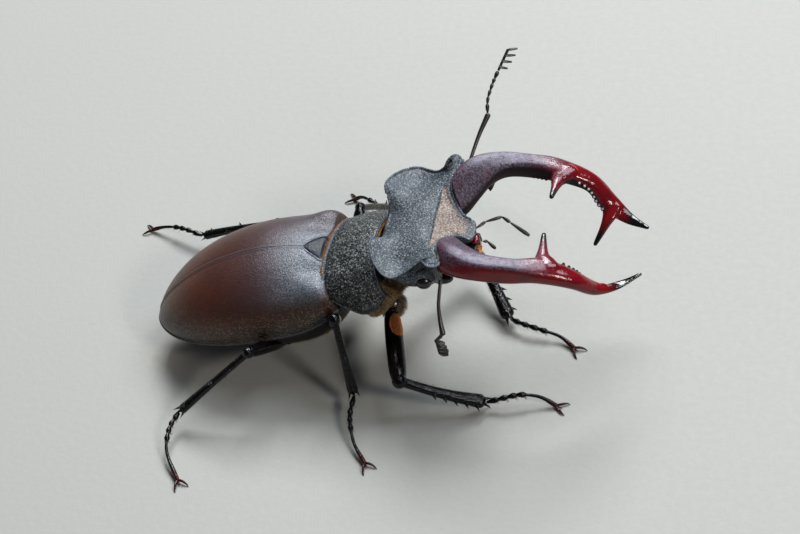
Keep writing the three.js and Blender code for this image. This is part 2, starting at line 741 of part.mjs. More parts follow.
const foreBodyRoom = () => seenFrom(hindBody, prothoraxSolid(-GAP, GAP), foreBody);
node(hindBody, "elytron_left", carve(elytron(), foreBodyRoom()), SHELL);
node(hindBody, "elytron_right", carve(mirrored(elytron()), foreBodyRoom()), SHELL);
node(hindBody, "scutellum", carve(scutellum(), foreBodyRoom()), BLACK_SHELL);
const thoraxTrunk = trunk(HIND_THORAX.front, HIND_THORAX.rear, thoraxDepth, 5);
const thoraxTools = [foreBodyRoom(), ...coxaTools(["mid", "hind"], hindBody)];
node(hindBody, "hind_thorax", carve(thoraxTrunk, ...thoraxTools), BLACK_SHELL);
const abdomenTrunk = trunk(ABDOMEN.front, ABDOMEN.rear, abdomenDepth, 8);
node(hindBody, "abdomen", carve(abdomenTrunk, ...coxaTools(["hind"], hindBody)), BLACK_SHELL);

const headRoom = () => seenFrom(foreBody, head(GAP), headGroup);
node(foreBody, "pronotum", carve(pronotum(), headRoom()), BLACK_SHELL);
const prothoraxTools = [headRoom(), ...coxaTools(["fore", "mid"], foreBody)];
const prothorax = carve(prothoraxSolid(PROTHORAX.inset, -GAP / 2), ...prothoraxTools);
node(foreBody, "prothorax_underside", prothorax, BLACK_SHELL);

node(headGroup, "neck", carve(neck(), head(GAP)), MEMBRANE);
const eye = (grow = 0) => bead(EYE.at, EYE.radii, { grow, around: 10, down: 6 });
node(headGroup, "head", carve(head(), eye(GAP), mirrored(eye(GAP))), HEAD_SHELL);
node(headGroup, "eye_left", eye(), EYE_BLACK);
node(headGroup, "eye_right", mirrored(eye()), EYE_BLACK);
node(headGroup, "mandible_left", mandible(), MANDIBLE_RED);
node(headGroup, "mandible_right", mandible(mirrored), MANDIBLE_RED);
node(headGroup, "labrum", bead(LABRUM.at, LABRUM.radii, { around: 10, down: 6 }), MANDIBLE_RED);
node(headGroup, "mouthparts", mouthparts(), FEELER_BROWN);
const feelerRod = (joints, start, end) => rod(joints, start, end, { sides: 6 });
for (const side of ["left", "right"]) {
  const { scape, stalk } = ANTENNAE[side];
  const radius = FEELER_RADIUS;
  node(headGroup, "antenna_scape_" + side, feelerRod(scape, radius.scapeRoot, radius.scapeTip), FEELER_BROWN);
  node(headGroup, "antenna_stalk_" + side, feelerRod(stalk, radius.stalk, radius.stalk), FEELER_BROWN);
  node(headGroup, "antenna_club_" + side, antennaClub(ANTENNAE[side]), FEELER_BROWN);
  const maxillary = feelerRod(MAXILLARY_PALPS[side], PALP_RADIUS.root, PALP_RADIUS.root);
  node(headGroup, "maxillary_palp_" + side, maxillary, FEELER_BROWN);
  const labial = feelerRod(LABIAL_PALPS[side], PALP_RADIUS.root, PALP_RADIUS.tip);
  node(headGroup, "labial_palp_" + side, labial, FEELER_BROWN);
}

for (const [name, leg] of Object.entries(LEGS)) {
  const size = LEG_SIZES[name.split("_")[0]];
  node(beetle, "coxa_" + name, coxa(leg, size), LEG_BLACK);
  node(beetle, "femur_" + name, carve(femur(leg, size), coxa(leg, size, GAP)), LEG_BLACK);
  node(beetle, "tibia_" + name, carve(tibia(leg, size), femur(leg, size, GAP)), LEG_BLACK);
  node(beetle, "tarsus_" + name, tarsus(leg, size), LEG_BLACK);
}

beetle.position.set(ORIGIN_SHIFT[0], ORIGIN_SHIFT[1], 0);

export default beetle;
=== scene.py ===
from math import pi, radians

import bpy
import numpy as np
from mathutils import Matrix
from numpy import (array, clip, column_stack, concatenate, cos, cross, linspace, maximum, minimum, sign,
                   sin, stack, where)


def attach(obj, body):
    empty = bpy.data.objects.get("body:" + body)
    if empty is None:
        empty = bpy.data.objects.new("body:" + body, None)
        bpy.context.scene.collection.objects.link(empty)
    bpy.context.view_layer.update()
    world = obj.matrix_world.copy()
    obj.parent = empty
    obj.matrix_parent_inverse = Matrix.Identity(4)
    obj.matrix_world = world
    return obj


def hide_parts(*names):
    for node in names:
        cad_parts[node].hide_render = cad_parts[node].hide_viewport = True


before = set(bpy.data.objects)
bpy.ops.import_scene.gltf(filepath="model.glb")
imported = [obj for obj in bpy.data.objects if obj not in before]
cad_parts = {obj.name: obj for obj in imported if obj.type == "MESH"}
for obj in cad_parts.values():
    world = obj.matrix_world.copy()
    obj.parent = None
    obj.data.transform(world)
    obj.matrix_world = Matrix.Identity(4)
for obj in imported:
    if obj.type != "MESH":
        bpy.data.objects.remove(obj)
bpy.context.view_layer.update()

# Every shape is made in millimetres in the frame of its body region, as in the CAD model:
# x forward, y to the beetle's left, z up.
MM = 0.001
UP = (0, 0, 1)
CREASE = 48  # degrees from which an edge shows sharp
END_ROUNDNESS = 0.8  # length of a tube's rounded ends, in radii
rng = np.random.default_rng(11)


# --- frames of the body regions
def turn(axis, degrees):
    c, s = cos(radians(degrees)), sin(radians(degrees))
    i, j = (axis + 1) % 3, (axis + 2) % 3
    matrix = np.eye(4)
    matrix[i, i] = matrix[j, j] = c
    matrix[i, j], matrix[j, i] = -s, s
    return matrix


def region(at, yaw=0, pitch=0, roll=0):
    matrix = turn(2, yaw) @ turn(1, -pitch) @ turn(0, roll)
    matrix[:3, 3] = at
    return matrix


FLOOR = region((-1.59, 0.455, 0))
HIND = FLOOR @ region((0, 0, 13.63), pitch=11.3, roll=2.6)
FORE = HIND @ region((-0.36, 0, -0.35), yaw=-4.7, pitch=13, roll=-5.6)
HEAD = HIND @ region((9.15, 0.06, 5.51), yaw=-4.3, pitch=-12.3, roll=-1)


def moved(points, matrix):
    return points @ matrix[:3, :3].T + matrix[:3, 3]


# --- numbers and curves
def mix(a, b, t):
    return a + (b - a) * t


def smooth(t):
    t = clip(t, 0, 1)
    return t * t * (3 - 2 * t)


def bell(x, width):
    return np.exp(-((x / width) ** 2))


def unit(v):
    v = np.asarray(v, float)
    return v / maximum(np.linalg.norm(v, axis=-1, keepdims=True), 1e-9)


def through(rows, t):
    """Catmull-Rom values through rows of numbers, at shares t of the whole run."""
    rows = np.asarray(rows, float)
    span = clip(t, 0, 1) * (len(rows) - 1)
    i = minimum(span.astype(int), len(rows) - 2)
    u = (span - i).reshape((-1,) + (1,) * (rows.ndim - 1))
    padded = concatenate([[2 * rows[0] - rows[1]], rows, [2 * rows[-1] - rows[-2]]])
    p0, p1, p2, p3 = (padded[i + k] for k in range(4))
    m1, m2 = (p2 - p0) / 2, (p3 - p1) / 2
    return (p1 * (2 * u**3 - 3 * u**2 + 1) + m1 * (u**3 - 2 * u**2 + u)
            + p2 * (3 * u**2 - 2 * u**3) + m2 * (u**3 - u**2))


# --- closed shapes: (points, triangles)
def outward(points, tris):
    a, b, c = (points[tris[:, k]] for k in range(3))
    volume = np.einsum("ij,ij->i", a, cross(b, c)).sum()
    return points, (tris[:, ::-1] if volume < 0 else tris)


def quads(a, b, c, d):
    a, b, c, d = (np.ravel(k) for k in (a, b, c, d))
    return concatenate([stack([a, b, c], 1), stack([a, c, d], 1)])


def merged(shapes):
    starts = np.cumsum([0] + [len(points) for points, _ in shapes])
    return (concatenate([points for points, _ in shapes]),
            concatenate([tris + start for (_, tris), start in zip(shapes, starts)]))


def loft(rings):
    """Closed solid through rings of equal count, with a fan at each end."""
    rows, cols = rings.shape[:2]
    ids = np.arange(rows * cols).reshape(rows, cols)
    nxt = np.roll(ids, -1, 1)
    ends = np.full((2, cols), [[rows * cols], [rows * cols + 1]])
    tris = [quads(ids[:-1], nxt[:-1], nxt[1:], ids[1:]),
            stack([ends[0], nxt[0], ids[0]], 1), stack([ends[1], ids[-1], nxt[-1]], 1)]
    return outward(concatenate([rings.reshape(-1, 3), rings[[0, -1]].mean(1)]), concatenate(tris))


def plate(outer, inner):
    """Closed plate between two grids, with walls round the border."""
    rows, cols = outer.shape[:2]
    top = np.arange(rows * cols).reshape(rows, cols)
    low = top + rows * cols
    edge = concatenate([top[0, :-1], top[:-1, -1], top[-1, :0:-1], top[:0:-1, 0]])
    nxt = np.roll(edge, -1)
    tris = [quads(top[:-1, :-1], top[:-1, 1:], top[1:, 1:], top[1:, :-1]),
            quads(low[:-1, :-1], low[1:, :-1], low[1:, 1:], low[:-1, 1:]),
            quads(edge, edge + rows * cols, nxt + rows * cols, nxt)]
    return outward(concatenate([outer.reshape(-1, 3), inner.reshape(-1, 3)]), concatenate(tris))


def grid_normals(grid, up):
    """Normals of a grid of points, turned to the side of the direction up."""
    normal = unit(cross(np.gradient(grid, axis=0), np.gradient(grid, axis=1)))
    return normal * sign((normal * up).sum(-1).mean())


def angles(count, offset=0.0):
    return 2 * pi * (np.arange(count) + offset) / count


def ovals(centre, aside, above, half, around, power=2.0):
    """Rings of superellipses, one at each centre, between two directions."""
    c, s = (sign(f) * np.abs(f) ** (2 / power) for f in (cos(around), sin(around)))
    return (centre[:, None] + aside[:, None] * (half[:, :1] * c)[..., None]
            + above[:, None] * (half[:, 1:] * s)[..., None])


def course(rows, t):
    """Values through rows [x, y, z, ...] at shares t, and the line's tangents there."""
    values = through(rows, t)
    tangent = unit((through(rows, t + 0.01) - through(rows, t - 0.01))[:, :3])
    return values, tangent


def limb(rows, steps=24, sides=20, power=2.0):
    """Tube along rows [x, y, z, half width, half height] with rounded ends."""
    values, tangent = course([(*row, row[-1])[:5] for row in rows], linspace(0, 1, steps + 1))
    centre, half = values[:, :3], values[:, 3:]
    swell = linspace(0, 1, 6)[1:, None] * 0.97 * pi / 2
    for ahead in (1, -1):
        # Each pass rounds the last end, then turns the tube round.
        cap = centre[-1] + tangent[-1] * (ahead * END_ROUNDNESS * half[-1].mean() * sin(swell))
        centre, half, tangent = (concatenate([a, b])[::-1] for a, b in (
            (centre, cap), (half, half[-1] * cos(swell)), (tangent, np.repeat(tangent[-1:], 5, 0))))
    level = cross(UP, tangent)
    level[np.linalg.norm(level, axis=1) < 0.03] = (0, 1, 0)
    level = unit(level)
    return loft(ovals(centre, level, cross(tangent, level), half, angles(sides, 0.5), power))


def blob(at, radii, sides=24):
    """Ellipsoid."""
    a, b = linspace(0, pi, sides // 2 + 1)[1:-1, None], angles(sides)
    points, tris = loft(section(cos(a), sin(a) * cos(b), sin(a) * sin(b)))
    points[-2], points[-1] = (1, 0, 0), (-1, 0, 0)
    return outward(points * radii + at, tris)


def section(x, y, z):
    return stack(np.broadcast_arrays(x, y, z), -1)


def mirrored(shape):
    return shape[0] * (1, -1, 1), shape[1][:, ::-1]


def linked(name, data):
    obj = bpy.data.objects.new(name, data)
    bpy.context.scene.collection.objects.link(obj)
    return obj


def triangle_mesh(name, points, tris):
    mesh = bpy.data.meshes.new(name)
    mesh.vertices.add(len(points))
    mesh.vertices.foreach_set("co", points.ravel())
    mesh.loops.add(tris.size)
    mesh.loops.foreach_set("vertex_index", tris.ravel().astype(np.int32))
    mesh.polygons.add(len(tris))
    mesh.polygons.foreach_set("loop_start", np.arange(0, tris.size, 3, dtype=np.int32))
    mesh.update(calc_edges=True)
    return mesh


def fused(shapes, voxel, softness=4):
    """One closed skin round overlapping solids, with its creases softened."""
    mesh = triangle_mesh("fuse", *merged(shapes))
    obj = linked("fuse", mesh)
    skin = obj.modifiers.new("skin", "REMESH")
    skin.mode, skin.voxel_size = "VOXEL", voxel
    ease = obj.modifiers.new("ease", "SMOOTH")
    ease.factor, ease.iterations = 0.5, softness
    done = bpy.data.meshes.new_from_object(obj.evaluated_get(bpy.context.evaluated_depsgraph_get()))
    done.calc_loop_triangles()
    points, tris = np.zeros(len(done.vertices) * 3), np.zeros(len(done.loop_triangles) * 3, int)
    done.vertices.foreach_get("co", points)
    done.loop_triangles.foreach_get("vertices", tris)
    bpy.data.objects.remove(obj)
    for used in (mesh, done):
        bpy.data.meshes.remove(used)
    return outward(points.reshape(-1, 3), tris.reshape(-1, 3))


def point_normals(points, tris):
    a, b, c = (points[tris[:, k]] for k in range(3))
    face = cross(b - a, c - a)
    total = np.zeros_like(points)
    for k in range(3):
        np.add.at(total, tris[:, k], face)
    return unit(total)


# --- places on shapes
def ridges(gap, *rows):
    """Sum of ridges and grooves (height, place, width) along a distance."""
    return sum(height * bell(gap - place, width) for height, place, width in rows)


def nearest(points, line):
    """Index of the sample of a line that is closest to each point, and its distance."""
    index, gap = [], []
    for block in np.array_split(points, len(points) // 3000 + 1):
        square = ((block[:, None] - line) ** 2).sum(-1)
        index.append(square.argmin(1))
        gap.append(square.min(1))
    return concatenate(index), np.sqrt(concatenate(gap))


def near(points, place, reach, soft, radii=1.0):
    """1 round a place, falling to 0 at a reach over a soft border, both in shares of the radii."""
    return smooth((reach - np.linalg.norm((points - place) / radii, axis=1)) / soft)


# --- pieces
def piece(name, shape, group, look, nodes=(), sharp=None, uv=None, **masks):
    """A mesh object at its place, riding on the beetle. masks are values of its first points, 0 past them."""
    points, tris = shape
    mesh = triangle_mesh(name, moved(points, group) * MM, tris)
    mesh.validate()
    mesh.shade_smooth()
    if sharp:
        mesh.set_sharp_from_angle(angle=radians(sharp))
    mesh.attributes.new("local", "FLOAT_VECTOR", "POINT").data.foreach_set("vector", points.ravel())
    for key in sorted(look.masks):
        values = np.ravel(masks.get(key, ()))
        mask = mesh.attributes.new(key, "FLOAT", "POINT")
        mask.data.foreach_set("value", np.pad(values, (0, len(points) - len(values))).astype(float))
    if uv is not None:
        mesh.uv_layers.new(name="OFBake").data.foreach_set("uv", uv[tris.ravel()].ravel())
    mesh.materials.append(look.material)
    obj = linked(name, mesh)
    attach(obj, "root")
    if nodes:
        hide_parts(*nodes)


def both_sides(name, shape, group, look, node, **settings):
    """A left piece and its mirror image."""
    for side, one in (("left", shape), ("right", mirrored(shape))):
        piece(f"{name}_{side}", one, group, look, [f"{node}_{side}"], **settings)


# --- materials
def rgb(code):
    value = [int(code[i:i + 2], 16) / 255 for i in (0, 2, 4)]
    return tuple(v / 12.92 if v < 0.04045 else ((v + 0.055) / 1.055) ** 2.4 for v in value) + (1,)


class Look:
    """A procedural material on one Principled shader. Textures are placed in millimetres on the body."""

    def __init__(self, name, slot, **fixed):
        self.material = bpy.data.materials.new(name)
        self.material.use_nodes = True
        self.tree = self.material.node_tree
        self.shader = self.tree.nodes["Principled BSDF"]
        self.slot, self.masks = slot, set()
        self.feed(self.shader, {key.replace("_", " "): value for key, value in fixed.items()})
        self.where = self.add("Attribute", {}, attribute_name="local")["Vector"]
        self.x, self.y, self.z = self.add("SeparateXYZ", {0: self.where})

    def feed(self, node, inputs):
        for key, value in inputs.items():
            if isinstance(value, bpy.types.NodeSocket):
                self.tree.links.new(value, node.inputs[key])
            else:
                node.inputs[key].default_value = value

    def add(self, kind, inputs, **settings):
        node = self.tree.nodes.new("ShaderNode" + kind)
        for key, value in settings.items():
            setattr(node, key, value)
        self.feed(node, inputs)
        return node.outputs

    def mask(self, name):
        self.masks.add(name)
        return self.add("Attribute", {}, attribute_name=name)["Fac"]

    def noise(self, scale, detail=3.0, stretch=None, rough=0.55):
        at = self.where
        if stretch:
            at = self.add("VectorMath", {0: at, 1: stretch}, operation="MULTIPLY")[0]
        inputs = {"Vector": at, "Scale": scale, "Detail": detail, "Roughness": rough}
        return self.add("TexNoise", inputs)["Fac"]

    def pits(self, scale, feature="SMOOTH_F1"):
        return self.add("TexVoronoi", {"Vector": self.where, "Scale": scale}, feature=feature)["Distance"]

    def math(self, operation, a, b):
        return self.add("Math", {0: a, 1: b}, operation=operation)[0]

    def times(self, a, b):
        return self.math("MULTIPLY", a, b)

    def specks(self, scale, size, rarity):
        """Bright grains, one in each cell of a mosaic, with a share of the cells left empty."""
        cell = self.add("TexVoronoi", {"Vector": self.where, "Scale": scale})
        grey = self.add("SeparateColor", {0: cell["Color"]})[0]
        return self.times(self.ramp(cell["Distance"], size, size * 0.5), self.ramp(grey, rarity, 1.0))

    def ramp(self, value, low, high, to_low=0.0, to_high=1.0):
        inputs = {"Value": value, "From Min": low, "From Max": high, "To Min": to_low, "To Max": to_high}
        return self.add("MapRange", inputs, interpolation_type="SMOOTHSTEP")["Result"]

    def blend(self, factor, a, b):
        return self.add("Mix", {0: factor, 6: a, 7: b}, data_type="RGBA")[2]

    def tones(self, factor, low, high):
        return self.blend(factor, rgb(low), rgb(high))

    def over(self, body, code, factor, share=None):
        """A colour laid over the body by a factor, or by a share of it."""
        return self.blend(factor if share is None else self.times(factor, share), body, rgb(code))

    def surface(self, colour, roughness, *relief):
        """Colour, roughness and a chain of bumps, each (height, depth in millimetres)."""
        under = {}
        for height, depth in relief:
            inputs = {"Height": height, "Distance": depth * MM, "Strength": 1.0, **under}
            under = {"Normal": self.add("Bump", inputs)["Normal"]}
        self.feed(self.shader, {"Base Color": colour, "Roughness": roughness, **under})
        return self


def elytra_look():
    look = Look("elytra_satin", "elytra_shell", Specular_IOR_Level=0.45)
    chestnut = look.tones(look.noise(0.22, 4), "2e1206", "50200b")
    dark = look.tones(look.noise(0.5, 3), "2c2124", "423236")
    dark = look.over(dark, "2c150d", look.ramp(look.z, 5.2, 3.0))
    # Painted sheen: a pale blue-grey highlight painted over the upper front of the wing cases, with a fine
    # grain in it, fading towards the left wing case's outer side.
    painted_front_sheen = look.times(look.ramp(look.x, -14, -3), look.ramp(look.z, 2.5, 5.2))
    painted_front_sheen = look.times(painted_front_sheen, look.ramp(look.y, 6, 1, 0.2, 1.0))
    front_sheen_tones = look.tones(look.ramp(look.noise(4.5, 3), 0.35, 0.65), "35373d", "6c717a")
    reach = look.math("ADD", look.x, look.times(look.noise(0.12, 2), 9.0))
    body = look.blend(look.ramp(reach, -19, -1), chestnut, look.blend(painted_front_sheen, dark, front_sheen_tones))
    # Darker towards the lower edge of the wing cases.
    body = look.over(body, "110f08", look.ramp(look.z, 3.0, -0.6), 0.9)
    body = look.over(body, "846f52", look.specks(4.0, 0.58, 0.2), look.ramp(look.z, 4.5, 1.5, 0.06, 0.6))
    # Painted highlight: a pale blue-grey line painted along the beads at the suture and the rim.
    body = look.over(body, "39424e", look.mask("edge"), 0.5)
    grain = look.noise(7, 4)
    wrinkles = look.times(look.noise(1.0, 3, (0.5, 4.0, 4.0)), look.ramp(look.x, -9, -2))
    return look.surface(body, look.ramp(grain, 0.3, 0.7, 0.28, 0.4), (look.pits(5.0), 0.03), (grain, 0.06),
                        (look.noise(0.9, 3), 0.04), (wrinkles, 0.08))


def punctured_look(name, ground, dust, amount, depth, scale):
    look = Look(name, "black_shell", Specular_IOR_Level=0.28)
    patches = look.noise(0.5, 4)
    grains = look.times(look.specks(scale, 0.6, 0.1), look.ramp(patches, 0.2, 0.6, 0.4, 1.0))
    fine = look.ramp(look.noise(scale * 1.6, 4), 0.52, 0.66)
    settled = look.math("MAXIMUM", grains, look.times(fine, 0.5))
    body = look.over(look.tones(patches, *ground), dust, settled, amount)
    # Painted highlight: a pale blue-grey line painted along the rims.
    body = look.over(body, "4c535e", look.mask("edge"), 0.6)
    return look.surface(body, look.ramp(look.noise(5, 3), 0.3, 0.7, 0.4, 0.62), (look.pits(scale), depth),
                        (look.noise(8, 4), depth * 0.6))


def head_look():
    look = Look("head_granular", "head_shell", Specular_IOR_Level=0.45)
    fine = look.ramp(look.noise(4.5, 4), 0.52, 0.66)
    grains = look.math("MAXIMUM", look.specks(3.8, 0.6, 0.15), look.times(fine, 0.5))
    body = look.over(look.tones(look.noise(0.45, 4), "1d2226", "333a41"), "9aa2a8", grains, 0.55)
    tan = look.tones(look.ramp(look.noise(3.6, 5), 0.4, 0.62), "50433b", "8c7a6e")
    tan = look.over(tan, "cbbaac", look.specks(3.8, 0.5, 0.35), 0.4)
    down = look.times(look.mask("frons"), look.ramp(look.noise(1.3, 4), 0.25, 0.5, 0.7, 1.0))
    # Painted highlight: a pale blue-grey line painted along the crest rims and the mandible sockets.
    body = look.over(look.blend(down, body, tan), "505a68", look.mask("edge"), 0.5)
    # Painted shade: the gloss mask paints near black where the head is in shade, and also makes it glossy.
    gloss = look.mask("gloss")
    return look.surface(look.over(body, "060607", gloss), look.ramp(gloss, 0.0, 1.0, 0.47, 0.16),
                        (look.pits(4.2), 0.07), (look.noise(9, 4), 0.06), (look.noise(1.2, 3), 0.1))


def mandible_look():
    look = Look("mandible_gloss", "mandible_red", Specular_IOR_Level=0.4)
    satin, inner = look.mask("satin"), look.mask("inner")
    # Painted reflection: the lilac grey for upward faces of the mandible's base stands in for the reflected
    # sky; its grain and magenta patches are the mandible's own.
    purple = look.tones(look.ramp(look.noise(3.4, 4), 0.36, 0.68), "20101a", "5c4f60")
    purple = look.over(purple, "4a1222", look.ramp(look.noise(0.35, 2), 0.45, 0.7, 0.0, 0.6))
    # Painted highlight: a pale lilac sheen painted in patches on the top crest of the mandibles.
    patches = look.ramp(look.noise(1.4, 4), 0.35, 0.6, 0.22, 0.5)
    purple = look.over(purple, "98929f", look.mask("crest"), patches)
    body = look.blend(satin, look.tones(look.noise(0.45, 4), "380409", "7a0912"), purple)
    # Painted shade and highlight: near black painted on inward and downward faces and at the root, where the
    # denticles are also dark in their own right; white glints painted on the denticles and the lip's tip. The
    # black tips are the teeth's own colour.
    for mask, code in ((inner, "0a0406"), (look.mask("tip"), "060507"), (look.mask("pale"), "c4bcbc")):
        body = look.over(body, code, mask)
    dull = look.math("MAXIMUM", look.times(satin, 0.45), inner)
    grain = look.times(look.noise(6, 4), look.math("ADD", satin, 0.1))
    return look.surface(body, look.ramp(dull, 0.0, 1.0, 0.14, 0.85), (grain, 0.09),
                        (look.noise(1.3, 2), 0.05), (look.pits(3.0), 0.012))


def leg_look(name, pits, waves):
    look = Look(name, "leg_black", Specular_IOR_Level=0.22)
    warm = look.times(look.ramp(look.noise(0.4, 3), 0.5, 0.72), 0.6)
    body = look.over(look.tones(warm, "040405", "120706"), "3a140c", look.mask("warm"))
    return look.surface(body, look.ramp(look.noise(4, 3), 0.3, 0.7, 0.08, 0.2), (look.pits(3.6), pits),
                        (look.noise(2.0, 3), waves), (look.noise(14, 2), 0.005))


def feeler_look():
    look = Look("feeler_brown", "feeler_brown", Specular_IOR_Level=0.5, Coat_Weight=0.2, Coat_Roughness=0.2)
    body = look.over(look.tones(look.noise(1.5, 3), "0c0909", "22150f"), "5a4332", look.mask("pale"))
    return look.surface(body, look.ramp(look.noise(8, 3), 0.3, 0.7, 0.3, 0.5), (look.noise(12, 3), 0.015),
                        (look.pits(7), 0.02))


def eye_look():
    look = Look("eye_facets", "eye_black", Specular_IOR_Level=0.5, Coat_Weight=0.2, Coat_Roughness=0.08)
    facets = look.pits(9, "F1")
    return look.surface(look.tones(look.noise(1.2, 2), "020202", "0b0807"),
                        look.ramp(facets, 0.0, 0.6, 0.12, 0.25), (facets, 0.012))


def membrane_look():
    look = Look("neck_membrane", "neck_membrane", Specular_IOR_Level=0.3)
    folds = look.noise(1.0, 4, (5.0, 1.0, 1.0))
    roughness = look.ramp(look.noise(4, 3), 0.3, 0.7, 0.55, 0.8)
    body = look.tones(folds, "0c0906", "1d150c")
    return look.surface(body, roughness, (folds, 0.15), (look.noise(9, 3), 0.03))


def hair_look(name, root, tip, shade, amount):
    look = Look(name, "golden_hair", Specular_IOR_Level=0.4, Sheen_Weight=0.15)
    tone = look.ramp(look.noise(2.6, 3), 0.35, 0.65, 0.0, amount)
    body = look.over(look.tones(look.mask("along"), root, tip), shade, tone)
    return look.surface(body, 0.5, (look.noise(20, 2), 0.01))


def floor_look():
    look = Look("studio_floor", None, Specular_IOR_Level=0.3)
    look.where = look.add("TexCoord", {})["Object"]
    fibre = look.noise(900.0, rough=0.5)
    return look.surface(look.tones(look.noise(9.0, 4.0, rough=0.5), "989690", "9e9c96"),
                        look.ramp(fibre, 0.3, 0.7, 0.7, 0.85), (fibre, 0.05))


SHELL = elytra_look()
PUNCTURED = punctured_look("pronotum_punctured", ("060606", "131414"), "989c9a", 0.75, 0.09, 3.6)
SCUTUM = punctured_look("scutellum_satin", ("15181d", "272c35"), "4e4f4c", 0.3, 0.04, 5.0)
BELLY = punctured_look("belly_shell", ("080707", "120d0b"), "3a2e1c", 0.2, 0.06, 4.0)
HEAD_SKIN = head_look()
JAW = mandible_look()
LEG = leg_look("leg_gloss", 0.025, 0.03)
SHIN = leg_look("leg_pitted", 0.08, 0.07)
FEELER = feeler_look()
EYE = eye_look()
MEMBRANE = membrane_look()
GOLD = hair_look("hair_golden", "7a4812", "dc9a48", "3b2a12", 0.4)
WOOL = hair_look("hair_brown", "3a280e", "b8965a", "1a1208", 0.85)
ORANGE = hair_look("hair_orange", "f07c28", "ffc070", "c05818", 0.35)


# --- wing cases and scutellum
E_FRONT, E_WIDEST, E_APEX = -0.9, -12.0, -32.9
E_HALF, E_RIM, E_CROWN = 10.55, -1.1, 7.55
NOTCH_END = -4.8
# Gap between the wing cases' outside and the trunk under them.
SHELL_GAP = 1.0
# Powers of the sine and cosine that give the wing cases' cross section.
ASIDE_POWER, UP_POWER = 0.88, 0.9


def elytra_section(x):
    """Half width, rim height and crown height of the wing cases at x."""
    back = clip((E_WIDEST - x) / (E_WIDEST - E_APEX), 0, 1)
    fore = clip((x - E_WIDEST) / (E_FRONT - E_WIDEST), 0, 1)
    half = E_HALF * (1 - back**2.2) ** 0.5 * (1 - fore**4) ** 0.226
    crown = mix(E_RIM, E_CROWN, (1 - back**2) ** 0.8) - 2.9 * fore**1.8
    return half, E_RIM + 1.6 * fore**3, crown


def dome(x, half, rim, crown, t, powers=(ASIDE_POWER, UP_POWER)):
    """Points of a dome's cross section: t runs from the crown (0) to the rim (1)."""
    a = clip(t, 0, 1) * pi / 2
    return section(x, half * sin(a) ** powers[0], rim + (crown - rim) * cos(a) ** powers[1])


def notch_half(x):
    """Half width of the notch that both wing cases leave for the scutellum."""
    return 2.1 * clip((x - NOTCH_END) / 2.4, 0, 1) ** 0.75


def held_back(points, limit):
    """Points of the hind body kept behind a level of the fore body's frame."""
    there = np.linalg.inv(FORE) @ HIND
    seen = moved(points, there)
    seen[..., 0] = minimum(seen[..., 0], limit)
    return moved(seen, np.linalg.inv(there))


def elytron():
    share = (1 - cos(pi * linspace(0, 1, 190))) / 2
    x = mix(E_FRONT - 0.25, E_APEX + 0.02, share)[:, None]
    half, rim, crown = elytra_section(x)
    seam = minimum(where(x > NOTCH_END, notch_half(x) + 0.1, 0.04), 0.5 * half)
    start = np.arcsin((seam / half) ** (1 / ASIDE_POWER)) * 2 / pi
    t = mix(start, 1, linspace(0, 1, 104)[None])
    grid = dome(x, half, rim, crown, t)
    normal = grid_normals(grid, (0, 0.5, 1))
    y = grid[..., 1]
    from_seam, from_rim = y - seam, (1 - t) * (minimum(half, 8) * 1.3)
    # Where the painted highlight runs along the suture and the rim.
    painted_bead_highlight = bell(from_seam - 0.14, 0.14) * 0.8 + bell(from_rim - 0.08, 0.16)
    lift = (ridges(from_seam, (0.07, 0.14, 0.13), (-0.04, 0.5, 0.2))
            + ridges(from_rim, (0.17, 0.07, 0.16), (-0.12, 0.42, 0.18))
            + 1.3 * bell(x + 2.3, 2.6) * bell(y - 7.4, 2.0)
            - 0.3 * bell(x + 3.2, 2.2) * bell(y - 4.4, 1.4))
    fade = smooth(half / 2.5)
    outer = grid + normal * (lift * fade)[..., None]
    wall = mix(0.3, 0.6, smooth(from_rim / 1.5)) * smooth(half / 3)
    inner = outer - normal * wall[..., None]
    return plate(held_back(outer, -0.5), held_back(inner, -0.6)), painted_bead_highlight * fade


def scutellum():
    x = mix(-1.68, -4.76, linspace(0, 1, 70))[:, None]
    k = linspace(-1, 1, 51)[None]
    half = notch_half(x) * np.sqrt(1 - clip((x + 2.7) / 1.05, 0, 1) ** 3)
    y = k * maximum(half, 0.05)
    wide, rim, crown = elytra_section(x)
    a = np.arcsin((np.abs(y) / wide) ** (1 / ASIDE_POWER))
    swell = 0.12 * (1 - np.abs(k) ** 3) * smooth((x + 4.75) / 0.8) - 0.16 * np.abs(k) ** 8
    outer = section(x, y, rim + (crown - rim) * cos(a) ** UP_POWER + swell)
    shape = plate(held_back(outer, -0.5), held_back(outer - (0, 0, 0.7), -0.5))
    # The mask is where a pale highlight is painted round the scutellum's edge.
    return shape, np.abs(k) ** 6 * np.ones_like(x)


shell, painted_bead_highlight = elytron()
both_sides("wing_case", shell, HIND, SHELL, "elytron", sharp=CREASE, edge=painted_bead_highlight)
shield, painted_bead_highlight = scutellum()
piece("scutellum_plate", shield, HIND, SCUTUM, ["scutellum"], CREASE, edge=painted_bead_highlight)


# --- trunk under the wing cases
def trunk_rings(x, half, rim, crown, depth, sides):
    """Rings round a trunk: dome from the rim to the crown above, rounded belly of a depth below."""
    up, aside = (f(angles(sides, 0.5))[None] for f in (cos, sin))
    above = rim + (crown - rim) * np.abs(up) ** UP_POWER
    return section(x, half * sign(aside) * np.abs(aside) ** ASIDE_POWER,
                   where(up > 0, above, rim - depth * np.abs(up) ** 0.85))


def rings_under_wings(x, depth):
    half, rim, crown = elytra_section(x)
    crown = maximum(rim + 0.1, crown - SHELL_GAP)
    return trunk_rings(x, maximum(0.4, half - SHELL_GAP), rim - 0.1, crown, depth, 120)


